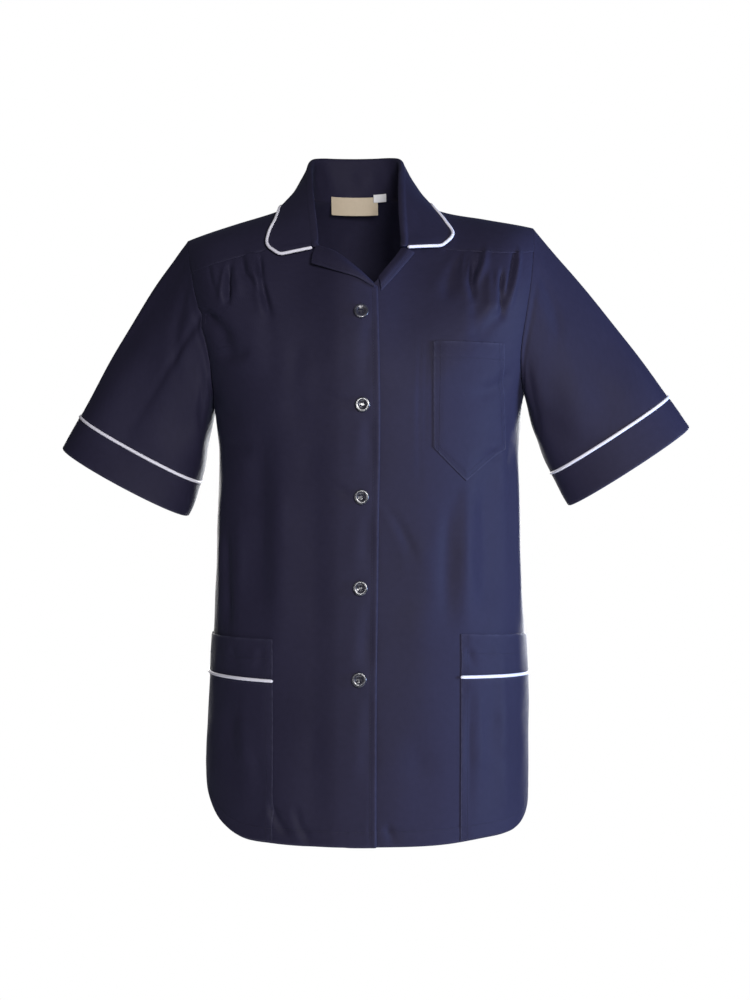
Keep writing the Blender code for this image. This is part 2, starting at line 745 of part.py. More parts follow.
def make_yokes():
    """The two front shoulder yokes."""
    for side, name in ((RIGHT, "yoke_right"), (LEFT, "yoke_left")):
        angle, height = yoke_grid(side)
        panel(name, FRONT, angle, height, 0.0, CLOTH)


def armhole_rounds(side):
    """Places round an armhole where the panels' rows meet it.

    A round runs from 0 at the shoulder tip down the front to 0.5 at the underarm and up the back.
    """
    front = np.concatenate([front_ways(side)[:-1], yoke_ways(side)])[::-1]
    back = quick_then_slow(BACK_HIGH_ROWS)[1:-1]
    return np.concatenate([(1 - front) / 2, (1 + back) / 2])


def armhole_ring(side, rounds):
    """Points, outward normals and across-the-seam directions round an armhole."""
    fronts = rounds < 0.5
    ways = np.where(fronts, 1 - 2 * rounds, 2 * rounds - 1)
    places, normals = [], []
    for front, way in zip(fronts, ways):
        facing = FRONT if front else BACK
        angle, height = armhole(side, facing, way)
        places.append(lie(facing, angle, height))
        normals.append(outward(facing, across_at(angle, height), height))
    places, normals = np.array(places), np.array(normals)
    run = unit(np.roll(places, -1, axis=0) - np.roll(places, 1, axis=0))
    normals = unit(normals - (normals * run).sum(1, keepdims=True) * run)
    return places, normals, unit(np.cross(run, normals)) * -side


def sleeve_frame(side):
    """Hem centre, hem direction to its outer end, and the way down the sleeve."""
    size = SLEEVES[side]
    centre = np.array([size.centre_x, 0.0, size.centre_z])
    out = np.array([size.outer_x, 0.0, size.outer_z])
    down = np.array([side * size.outer_z, 0.0, -side * size.outer_x])
    return centre, out, down


def sleeve_lines(side):
    """Start, end and end directions of the lines that run down a sleeve."""
    rounds = armhole_rounds(side)
    turn = 2 * math.pi * rounds[:, None]
    places, normals, across = armhole_ring(side, rounds)
    size = SLEEVES[side]
    centre, out, down = sleeve_frame(side)
    end = centre + size.half_width * np.cos(turn) * out
    end = end - size.half_depth * np.sin(turn) * np.array([0.0, 1.0, 0.0])
    end = end + size.tilt * np.sin(turn) * down
    low = (1 - np.cos(turn)) / 2
    inner_way = np.array([side * math.sin(ARMPIT_LEAN), 0.0, -math.cos(ARMPIT_LEAN)])
    begin = across * SHOULDER_ROUND[side] * (1 - low) ** 4
    begin = begin + across * UNDERARM_BULGE * low * (1 - low) * 4
    begin = begin + down * (1 - low) + inner_way * low + normals * 0.5 * low * (1 - low)
    begin = unit(begin)
    start = places + SEAM * unit(across * (1 - low**2) + normals * low**2)
    length = np.linalg.norm(end - start, axis=1, keepdims=True)
    return start, begin, end, down, length, across


def sleeve_points(lines, along):
    """A sleeve's outer face, rows of points at shares of the way down each of its lines."""
    start, begin, end, down, length, _ = lines
    part = along[..., None]
    return (
        start * (1 + 2 * part) * (1 - part) ** 2
        + end * part**2 * (3 - 2 * part)
        + begin * length * part * (1 - part) ** 2
        - down * length * part**2 * (1 - part)
    )


def tube_wall(name, outer, thickness, first_across=None):
    """A tube wall. At an armhole its first ring keeps clear of the panels inside it."""
    normals = -grid_normals(outer, closed=True)
    middle = outer.mean(axis=1, keepdims=True)
    facing_out = ((outer - middle) * normals).sum() > 0
    normals = normals if facing_out else -normals
    if first_across is not None:
        toward = np.maximum((normals[0] * first_across).sum(1, keepdims=True), 0)
        normals[0] = unit(normals[0] - toward * first_across)
    return wall(name, outer, outer - normals * thickness, closed=True)


def make_sleeves():
    """Each sleeve, its hem band and the ring of piping between them."""
    for side, word in ((RIGHT, "right"), (LEFT, "left")):
        lines = sleeve_lines(side)
        length, across = lines[4][:, 0], lines[5]
        band = 1 - CUFF / length
        above = band - (SEAM + PIPING_RADIUS) / length
        below = band + (SEAM + PIPING_RADIUS) / length
        shares = np.array(SLEEVE_ROWS)[:, None]
        tube_wall(f"sleeve_{word}", sleeve_points(lines, shares * above), CLOTH, across)
        shares = np.linspace(0, 1, 3)[:, None]
        tube_wall(f"cuff_{word}", sleeve_points(lines, below + (1 - below) * shares), CLOTH)
        ring = sleeve_points(lines, band[None, :])[0]
        piping(f"cuff_piping_{word}", ring, closed=True)


def collar_profile(way, side):
    """Neck seam, roll line and outer edge of the collar at one place round the neck."""
    if way < 0.5:
        neck = lie(BACK, *back_neck(side * way / 0.5))
    else:
        drop = NECK_END_DROP[side] * (2 * way - 1) ** 1.2
        neck = lie(FRONT, *neckline(side, drop), NECK_END_LIFT * ease(0.8, 1.0, way))
    roll_x, roll_y, roll_z, *edges = through(COLLAR, way)
    edge_x, edge_y = edges[:2] if side == RIGHT else edges[2:]
    roll = np.array([section(roll_z).centre + side * roll_x, roll_y, roll_z])
    facing = FRONT if edge_y < 0 else BACK
    across = section(0.0).centre + side * edge_x
    height = height_at_depth(facing, across, abs(edge_y))
    across = section(height).centre + side * edge_x
    height = height_at_depth(facing, across, abs(edge_y))
    return neck, roll, lie(facing, angle_at(across, height), height, EDGE_LIFT)


def collar_grid(stations):
    """The collar's middle surface: stand, fold at the roll line, and fall."""
    rows = []
    for station in stations:
        side = RIGHT if station < 0 else LEFT
        neck, roll, edge = collar_profile(abs(station), side)
        up = unit(roll - neck)
        out = edge - roll
        out = unit(out - out.dot(up) * up)
        neck = neck + up * (NECK_GAP + COLLAR_CLOTH / 2)
        middle = roll - up * FOLD_RADIUS
        fold = [
            middle + FOLD_RADIUS * (math.sin(turn) * up - math.cos(turn) * out)
            for turn in np.linspace(0, math.pi, FOLD_TURNS)
        ]
        stand = [neck + (fold[0] - neck) * share for share in STAND_SHARES]
        fall = []
        for share in FALL_SHARES:
            bulge = 4 * share * (1 - share) * (FALL_BULGE - 2.0 * ease(0.35, 0.6, abs(station)))
            fall.append(fold[-1] + (edge - fold[-1]) * share + out * bulge)
        rows.append(stand + fold + fall)
    return np.array(rows)


def make_collar():
    """The collar, and the piping round the edge of its fall."""
    half = np.array(COLLAR_STATIONS)
    stations = np.concatenate([-half[::-1], [0.0], half])
    grid = collar_grid(stations)
    sheet("collar", grid, COLLAR_CLOTH)
    normals = grid_normals(grid)
    fall = slice(len(STAND_SHARES) + FOLD_TURNS, -1)
    path = np.concatenate([grid[0, fall], grid[:, -1], grid[-1, fall][::-1]])
    path_normals = np.concatenate([normals[0, fall], normals[:, -1], normals[-1, fall][::-1]])
    legs = unit(np.diff(path, axis=0))
    before, after = np.vstack([legs[:1], legs]), np.vstack([legs, legs[-1:]])
    run = unit(before + after)
    away = unit(np.cross(run, path_normals)) / (before * run).sum(axis=1, keepdims=True)
    if (away * (path - grid[:, fall.start - 2].mean(axis=0))).sum() < 0:
        away = -away
    piping("collar_piping", path + away * (PIPING_RADIUS + SEAM))


def make_lapels():
    """The turned-back tops of the fronts."""
    for side, name in ((RIGHT, "lapel_right"), (LEFT, "lapel_left")):
        rows = []
        for way in np.linspace(0, 1, LAPEL_ROWS):
            roll, edge_x, edge_z, lift_roll, lift_edge = through(LAPELS[side], way)
            roll_x, roll_z = roll_line(side, roll)
            row = []
            for share in np.linspace(0, 1, LAPEL_COLUMNS):
                across = roll_x + (edge_x - roll_x) * share
                height = roll_z + (edge_z - roll_z) * share
                bulge = LAPEL_BULGE * math.sin(math.pi * share)
                lift = lift_roll + (lift_edge - lift_roll) * share + bulge
                row.append(lie(FRONT, angle_at(across, height), height, lift))
            rows.append(row)
        sheet(name, np.array(rows), POCKET_CLOTH)


def make_chest_pocket():
    """The patch pocket with a pointed bottom, on the wearer's left."""
    left, right = CHEST_POCKET_ACROSS
    point_x, point_z = CHEST_POCKET_POINT
    across = np.concatenate([np.linspace(left, point_x, 5), np.linspace(point_x, right, 6)[1:]])
    away = np.abs(across - point_x) / np.where(across < point_x, point_x - left, right - point_x)
    bottom = point_z + (CHEST_POCKET_CORNER - point_z) * away
    share = np.linspace(0, 1, 9)[:, None]
    height = bottom + (CHEST_POCKET_TOP - bottom) * share
    angle = angle_at(np.broadcast_to(across, height.shape), height)
    panel("chest_pocket", FRONT, angle, height, POCKET_GAP + POCKET_CLOTH, POCKET_CLOTH)


def make_hip_pockets():
    """Each hip pocket, the band above it and the piping between them."""
    share = np.linspace(0, 1, 10)
    for side, word in ((RIGHT, "right"), (LEFT, "left")):
        size = HIP_POCKETS[side]
        top = size.top_inner + (size.top_side - size.top_inner) * share
        cord = size.piping_inner + (size.piping_side - size.piping_inner) * share
        reach = PIPING_RADIUS + SEAM

        def angles(height):
            inner = angle_at(size.inner, height)
            return inner * (1 - share) + side * seam_angle(FRONT, height) * share

        hem = hem_height(side, angles(np.full(share.shape, -640.0))) + POCKET_HEM_GAP
        rise = np.linspace(0, 1, 8)[:, None]
        bag = hem + (cord - reach - hem) * rise
        lift = POCKET_GAP + POCKET_CLOTH
        panel(f"hip_pocket_{word}", FRONT, angles(bag), bag, lift, POCKET_CLOTH)
        band = cord + reach + (top - cord - reach) * np.linspace(0, 1, 4)[:, None]
        panel(f"hip_pocket_band_{word}", FRONT, angles(band), band, lift, POCKET_CLOTH)
        piping(f"hip_piping_{word}", lie(FRONT, angles(cord), cord, POCKET_GAP + PIPING_RADIUS))


def make_buttons():
    """Five buttons by a turned profile, each with four holes cut through."""
    for number, height in enumerate(BUTTON_HEIGHTS, start=1):
        profile = bpy.data.meshes.new(f"button_{number}")
        rim = BUTTON_RADIUS
        outline = (
            (0.0, BUTTON_THICK * 0.6),
            (rim * 0.6, BUTTON_THICK * 0.6),
            (rim * 0.76, BUTTON_THICK),
            (rim * 0.94, BUTTON_THICK * 0.9),
            (rim, BUTTON_THICK * 0.5),
            (rim * 0.9, 0.0),
            (0.0, 0.0),
        )
        profile.from_pydata(
            [(x * MM, 0.0, z * MM) for x, z in outline],
            [(n, n + 1) for n in range(len(outline) - 1)],
            [],
        )
        button = bpy.data.objects.new(f"button_{number}", profile)
        finish(button, "button")
        turn = button.modifiers.new("turn", "SCREW")
        turn.steps = turn.render_steps = BUTTON_STEPS
        turn.use_merge_vertices = True
        turn.merge_threshold = 0.00001
        turn.use_smooth_shade = True
        for hole in range(4):
            cut = button.modifiers.new(f"hole_{hole}", "BOOLEAN")
            cut.operation = "DIFFERENCE"
            cut.object = hole_cutter(number, hole, button)
        across = section(height).centre
        place = lie(FRONT, 0.0, height, LAP_LIFT + SEAM)
        normal = outward(FRONT, across, height)
        button.location = place * MM
        button.rotation_euler = (
            math.pi / 2 - math.asin(float(normal[2])),
            0.0,
            math.atan2(float(normal[0]), -float(normal[1])),
        )


def hole_cutter(number, hole, button):
    """The cutter of one of a button's four holes, standing round its middle."""
    turn = math.pi / 4 + hole * math.pi / 2
    mesh = bpy.data.meshes.new(f"cutter_{number}_{hole}")
    work = bmesh.new()
    bmesh.ops.create_cone(
        work,
        cap_ends=True,
        segments=HOLE_SIDES,
        radius1=HOLE_RADIUS * MM,
        radius2=HOLE_RADIUS * MM,
        depth=4 * BUTTON_THICK * MM,
    )
    work.to_mesh(mesh)
    work.free()
    cutter = bpy.data.objects.new(f"cutter_{number}_{hole}", mesh)
    cutter.location = (
        HOLE_SPACING * math.sqrt(2) * math.cos(turn) * MM,
        HOLE_SPACING * math.sqrt(2) * math.sin(turn) * MM,
        0.0,
    )
    cutter.parent = button
    cutter.hide_render = True
    cutter.display_type = "WIRE"
    cutters.objects.link(cutter)
    return cutter


def make_labels():
    """The label and the tab over it, hanging from the back neck seam just inside it."""
    for name, look, ends, heights, inside in (
        ("neck_label", "label", LABEL_ACROSS, LABEL_HEIGHTS, LABEL_INSIDE),
        ("size_tab", "tab", TAB_ACROSS, TAB_HEIGHTS, LABEL_INSIDE + LABEL_CLOTH + SEAM),
    ):
        across = np.linspace(*ends, 9) * np.ones((3, 1))
        height = np.linspace(*heights, 3)[:, None] * np.ones(9)
        out = (across - section(heights[1]).centre) / NECK_HALF_WIDTH
        behind = BACK_NECK_DEPTH * np.sqrt(1 - out**2) - inside
        behind = behind + (LABEL_HEIGHTS[1] - height) * LABEL_SLOPE
        outer = np.stack([across, behind, height], axis=-1)
        wall(name, outer, outer - np.array([0.0, LABEL_CLOTH, 0.0]), look)


for old in list(bpy.data.objects):
    bpy.data.objects.remove(old, do_unlink=True)

tunic = bpy.data.collections.new("work_tunic")
cutters = bpy.data.collections.new("cutters")
bpy.context.scene.collection.children.link(tunic)
bpy.context.scene.collection.children.link(cutters)
cutters.hide_render = True

mount = bpy.data.objects.new("wearer_shoulders", None)
tunic.objects.link(mount)

make_fronts()
make_back()
make_yokes()
make_sleeves()
make_collar()
make_lapels()
make_chest_pocket()
make_hip_pockets()
make_buttons()
make_labels()
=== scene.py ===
import math
from collections import namedtuple

import bpy
import numpy as np
from mathutils import Matrix, Vector


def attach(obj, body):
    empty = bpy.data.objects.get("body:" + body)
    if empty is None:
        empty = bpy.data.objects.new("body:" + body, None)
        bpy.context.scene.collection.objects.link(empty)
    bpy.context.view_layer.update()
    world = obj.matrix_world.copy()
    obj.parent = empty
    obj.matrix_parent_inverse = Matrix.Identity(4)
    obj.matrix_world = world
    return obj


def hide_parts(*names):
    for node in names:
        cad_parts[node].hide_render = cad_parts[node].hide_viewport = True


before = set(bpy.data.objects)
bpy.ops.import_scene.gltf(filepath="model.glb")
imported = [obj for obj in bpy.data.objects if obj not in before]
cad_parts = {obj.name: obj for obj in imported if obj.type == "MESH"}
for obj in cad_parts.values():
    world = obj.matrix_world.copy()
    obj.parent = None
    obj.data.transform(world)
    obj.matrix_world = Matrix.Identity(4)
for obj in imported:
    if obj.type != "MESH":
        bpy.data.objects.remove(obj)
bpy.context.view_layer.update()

MM = 0.001
RIGHT, LEFT = -1, 1
SIDES = ((RIGHT, "right"), (LEFT, "left"))
FRONT, BACK = -1, 1

# Cloth thicknesses, the piping, and the room between layers and at seams, as in the part.
CLOTH = 1.4
POCKET_CLOTH = 1.2
LABEL_CLOTH = 1.0
PIPING_RADIUS = 1.7
LAP_GAP = 1.5
POCKET_GAP = 0.8
SEAM = 0.3
HALF_SEAM = SEAM / 2

# The worn form, one level section a row: height, centre, widths from the centre to the wearer's right
# and left, depths in front and behind, and how square it is.
Section = namedtuple("Section", "centre right left front back square")
SECTIONS = (
    (-664, 3.8, 170.5, 170.5, 146.0, 138.0, 2.25), (-600, 3.8, 171.5, 171.5, 145.0, 137.0, 2.25),
    (-540, 3.8, 169.5, 171.5, 143.0, 134.0, 2.25), (-490, 4.0, 167.5, 170.5, 140.0, 130.0, 2.25),
    (-440, 4.5, 166.0, 167.5, 137.0, 125.0, 2.25), (-390, 5.0, 164.5, 163.0, 134.0, 121.0, 2.25),
    (-335, 5.5, 163.5, 161.0, 133.0, 119.0, 2.25), (-285, 6.5, 162.0, 160.0, 133.0, 120.0, 2.25),
    (-250, 7.0, 163.0, 160.0, 134.0, 122.0, 2.25), (-208, 7.0, 169.0, 163.0, 134.0, 124.0, 2.2),
    (-160, 6.0, 181.0, 175.0, 133.0, 125.0, 2.2), (-100, 3.5, 193.0, 190.0, 131.0, 124.0, 2.2),
    (-40, 0.0, 197.0, 195.0, 130.0, 124.0, 2.2), (10, -6.5, 199.0, 197.0, 130.0, 124.0, 2.2),
    (70, -13.0, 200.0, 198.0, 130.0, 124.0, 2.2),
)

# The shoulder line, from the wearer's right to the left: across, height. Over the neck hole it only
# shapes the rest.
SHOULDER = (
    (-205, -35.5), (-186, -28.3), (-140, -13.0), (-90, 2.6), (-60, 15.0), (-36, 33.0), (-7, 46.0),
    (22, 33.0), (46, 15.0), (83, 0.0), (130, -9.0), (176, -17.5), (200, -23.0),
)

# How far below the shoulder line the form reaches its full depth, and how round it turns there, by
# sideways place: in front, behind, and the two bends.
Fall = namedtuple("Fall", "front back bend_front bend_back")
FALLS = (
    (-205, 78, 76, 2.0, 2.0), (-170, 92, 90, 1.9, 2.0), (-115, 160, 125, 1.7, 2.0),
    (-60, 205, 155, 1.6, 2.0), (0, 215, 170, 1.6, 2.0), (60, 205, 155, 1.6, 2.0),
    (115, 160, 125, 1.7, 2.0), (170, 92, 90, 1.9, 2.0), (205, 78, 76, 2.0, 2.0),
)

# Soft upright folds of the hanging cloth, where they are deep enough to change the form: angle,
# top, bottom, width, depth.
FOLDS = {
    FRONT: (
        (79, -235, -455, 17, 3.5), (58, -270, -450, 22, -3.5), (38, -300, -450, 24, 2.5),
        (-44, -250, -450, 26, -3.5), (-66, -240, -450, 24, 2.5),
    ),
    BACK: (
        (-58, -180, -560, 26, -4.0), (-30, -230, -620, 28, 3.5), (4, -200, -600, 26, -3.0),
        (33, -220, -610, 28, 3.5), (60, -170, -540, 26, -4.0),
    ),
}
FOLD_FADE = 70.0

# The hem, with rounded corners at the side seams: angle from the front or back centre, height on the
# right, height on the left.
HEM = (
    (0, -664.0, -664.0), (28, -663.0, -662.5), (45, -659.5, -659.0), (58, -647.5, -657.0),
    (68, -631.5, -653.5), (77, -613.0, -645.0), (90, -584.0, -627.0),
)

# Each armhole from the underarm to the shoulder tip: way, share of its height, and angle in from the
# side on the front and on the back.
ARMHOLE = (
    (0.00, 0.000, 90.0, 90.0), (0.10, 0.018, 82.0, 82.5), (0.20, 0.080, 74.0, 75.5),
    (0.30, 0.180, 68.5, 71.0), (0.42, 0.320, 65.5, 68.5), (0.56, 0.500, 65.0, 67.5),
    (0.70, 0.680, 66.5, 68.0), (0.85, 0.860, 68.5, 69.0), (1.00, 1.000, 69.5, 69.5),
)
TIP_ANGLE = ARMHOLE[-1][2]
# Height of each underarm, and how many degrees further out each shoulder tip lies.
UNDERARM = {RIGHT: -208.0, LEFT: -198.0}
TIP_OUT = {RIGHT: 4.0, LEFT: 0.0}

# Yoke seam: how far it lies below the shoulder line at the neck and at the armhole.
YOKE_DROP = {RIGHT: (46.0, 41.0), LEFT: (48.0, 27.0)}

# Front neckline: how far it has dropped below the shoulder line, and how far out it lies there.
NECKLINE = (
    (0, 52.0), (12, 52.5), (26, 52.0), (38, 50.5), (50, 48.5), (72, 45.5),
)
NECK_HALF_WIDTH = 52.0
BACK_NECK_DEPTH = 61.0

# Where each front turns back into its lapel, from the break of the front up to the collar: way,
# across, height.
ROLLS = {
    RIGHT: (
        (0.00, 19.0, -91.0), (0.30, -3.0, -71.0), (0.62, -22.0, -56.5), (1.00, -45.0, -47.0),
    ),
    LEFT: (
        (0.00, -13.5, -117.0), (0.22, 3.0, -101.0), (0.44, 17.5, -86.5), (0.64, 28.0, -73.0),
        (0.86, 40.4, -56.5), (1.00, 46.3, -47.0),
    ),
}
BREAK_HEIGHT = {side: rows[0][2] for side, rows in ROLLS.items()}
# How far each front passes the centre, and how far the right one is lifted over the left, with the
# places from the centre between which it rises.
OVERLAP = 17.0
LAP_LIFT = CLOTH + LAP_GAP
LAP_RAMP = (-50.0, -21.0)

# Unpressed tucks below the yoke: place between front edge and armhole, width, depth, length.
TUCKS = {
    RIGHT: (
        (0.43, 6.5, 3.6, 64), (0.72, 6.0, 1.2, 40),
    ),
    LEFT: (
        (0.47, 6.0, 3.6, 52), (0.77, 6.5, 3.8, 84),
    ),
}
# Width of a front below the yoke, which turns those places into lengths.
FRONT_SPAN = 130.0

# Sleeves: hem centre, direction from the inner to the outer end of the hem, and sizes.
Sleeve = namedtuple("Sleeve", "centre_x centre_z outer_x outer_z half_width half_depth tilt")
SLEEVES = {
    RIGHT: Sleeve(-259.2, -290.7, -0.881, 0.474, 78.0, 44.0, 4.0),
    LEFT: Sleeve(284.4, -274.3, 0.839, 0.544, 77.0, 44.0, 4.0),
}
# How the cloth leaves the armhole at the shoulder and under the arm, the hollow below its front, and
# the depth of the cuff.
HEAD_HOLLOW = {RIGHT: 1.4, LEFT: 2.0}
SHOULDER_ROUND = {RIGHT: 0.5, LEFT: 0.22}
ARMPIT_LEAN = math.radians(14)
CUFF = 39.0
UNDERARM_BULGE = 0.35

# Collar by way round from the back centre (0) to its front end (1): roll line x, y, z, then the outer
# edge's x, y in plan on the wearer's right, and on the left. The neck seam comes from the neckline,
# and the edge's height from the form it lies on.
COLLAR = (
    (0.00, 0.0, 68.0, 66.5, 0.0, 86.0, 0.0, 86.0), (0.12, 20.0, 67.5, 66.7, 27.0, 78.0, 27.0, 78.0),
    (0.24, 39.0, 63.0, 66.6, 49.0, 58.5, 48.5, 58.5), (0.32, 48.0, 52.0, 64.2, 62.0, 45.0, 61.0, 45.0),
    (0.42, 50.5, 33.0, 55.5, 73.0, 25.5, 70.5, 25.5), (0.54, 50.0, 9.0, 42.0, 79.5, 2.0, 74.0, 2.0),
    (0.66, 49.0, -15.0, 25.0, 82.5, -20.0, 79.0, -20.0),
    (0.78, 48.0, -38.0, 6.0, 87.0, -40.0, 89.0, -38.0),
    (0.88, 47.0, -58.0, -14.0, 94.0, -55.0, 96.0, -50.0),
    (0.95, 46.3, -73.0, -31.0, 95.5, -65.0, 94.0, -56.0),
    (0.98, 45.9, -80.5, -40.0, 92.0, -69.5, 91.5, -59.5),
    (1.00, 45.7, -86.0, -46.0, 85.5, -74.4, 86.5, -64.0),
)
# How far the edge lies off the form, how full the fall is, and where the neck seam's ends lie: off the
# form, and below the shoulder line.
EDGE_LIFT = 4.6
FALL_BULGE = 2.5
NECK_END_LIFT = 2.4
NECK_END_DROP = {RIGHT: 72.0, LEFT: 61.0}

# Lapels, from the break up: way, way on the roll line, outer edge x and z, and how far they stand off
# at the roll and at the edge.
LAPELS = {
    RIGHT: (
        (0.0, 0.04, 17.5, -93.0, 3.2, 3.8), (0.3, 0.28, 1.0, -83.5, 3.8, 5.6),
        (0.7, 0.65, -23.0, -75.0, 3.8, 6.5), (1.0, 0.97, -46.5, -67.0, 4.0, 6.5),
    ),
    LEFT: (
        (0.0, 0.52, 24.5, -95.0, 1.2, 1.6), (0.5, 0.75, 41.0, -75.0, 2.4, 3.4),
        (1.0, 0.96, 56.5, -55.0, 3.0, 4.2),
    ),
}

# Chest pocket on the wearer's left: its sides, top, lower corners and point.
CHEST_POCKET_ACROSS = (79.0, 151.0)
CHEST_POCKET_TOP = -148.0
CHEST_POCKET_CORNER = -257.0
CHEST_POCKET_POINT = (112.0, -291.0)

# Hip pockets: inner edge, and the heights of top and piping at the inner edge and the side.
HipPocket = namedtuple("HipPocket", "inner top_inner top_side piping_inner piping_side")
HIP_POCKETS = {
    RIGHT: HipPocket(-86.0, -455.0, -453.5, -497.5, -493.5),
    LEFT: HipPocket(107.0, -449.0, -454.5, -493.0, -495.5),
}
POCKET_HEM_GAP = 1.5

# Buttons down the centre front, with four holes, each turned a little its own way. Their outline runs
# from the middle of the face over the rim to the middle of the back, in shares of radius and thickness.
BUTTON_HEIGHTS = (-118.0, -213.5, -308.0, -401.5, -494.5)
BUTTON_RADIUS = 7.8
BUTTON_THICK = 2.8
HOLE_RADIUS = 0.95
HOLE_SPACING = 1.7
HOLE_ENDS = (-4.0, 8.0)
MERGED_WITHIN = 0.00001
SHARP_FROM = math.radians(50)
BUTTON_TURNS = (8.0, -14.0, 3.0, 21.0, -6.0)
BUTTON_OUTLINE = (
    (0.0, 0.62), (0.22, 0.62), (0.4, 0.63), (0.47, 0.7), (0.53, 0.87), (0.6, 0.96), (0.7, 0.99), (0.8, 1.0),
    (0.88, 0.98), (0.94, 0.92), (0.98, 0.78), (1.0, 0.55), (0.985, 0.34), (0.93, 0.12), (0.85, 0.0),
    (0.4, 0.0), (0.0, 0.0),
)

# Label and tab inside the back neck: sides, bottom and top, gap behind them, and slope.
LABEL_ACROSS = (-38.5, 11.8)
LABEL_HEIGHTS = (3.5, 22.5)
TAB_ACROSS = (7.5, 21.5)
TAB_HEIGHTS = (17.0, 25.0)
LABEL_INSIDE = 5.0
LABEL_SLOPE = 0.3

# Walls of the dressed cloth, which is thinner than the part's so that its layers lie close, and what
# the turned-under front edge and the hem add. The collar and lapels have half their wall either side.
THIN = 1.0
HEM_WALL = 0.5
FACING_WALL = 0.8
FACING_EDGE = (26.0, 33.0)
CUFF_WALL = 2.0
COLLAR_HALF_WALL = 0.75
LAPEL_HALF_WALL = 0.6
PATCH_WALL = 0.9
ALLOWANCE_WALL = 0.6
LABEL_WALL = 0.6

# Steps of the meshes, along each piece's rows and columns.
EDGE_ROWS, ROLL_ROWS = 4, 5
LOW_ROWS = 112
LOW_BUNCH = 0.45
FRONT_COLUMNS, FRONT_PART_ROWS = 124, 7
BACK_COLUMNS, BACK_ROWS = 192, 70
YOKE_COLUMNS, YOKE_ROWS = 72, 44
ROUNDS = 180
SLEEVE_ROWS, CUFF_ROWS = 84, 26
SIDE_ROWS = 119
COLLAR_COLUMNS = 176
STAND_STEPS, FOLD_STEPS, FALL_STEPS = 14, 10, 24
FALL_START = STAND_STEPS + FOLD_STEPS + 1
LAPEL_ROWS, LAPEL_COLUMNS, CURL_STEPS = 60, 24, 8
CHEST_LEFT_COLUMNS, CHEST_RIGHT_COLUMNS, CHEST_ROWS = 25, 30, 80
HIP_COLUMNS, BAG_ROWS, BAND_ROWS = 64, 88, 28
LABEL_COLUMNS, LABEL_ROWS = 64, 24
BUTTON_STEPS, HOLE_SIDES = 56, 16
CORD_SIDES, CORD_PITCH, CUFF_CORD_PITCH = 12, 1.2, 1.6
FLOOR_SIDES = 96

# Share of the back's width that is neck, steps of each search for a height, and the creases' depth
# over all and the angles between which they die away at the side.
NECK_SHARE = 1 / 3
SOLVE_STEPS = 6
CREASE_DEPTH = 1.6
CREASE_END = (1.38, 1.53)

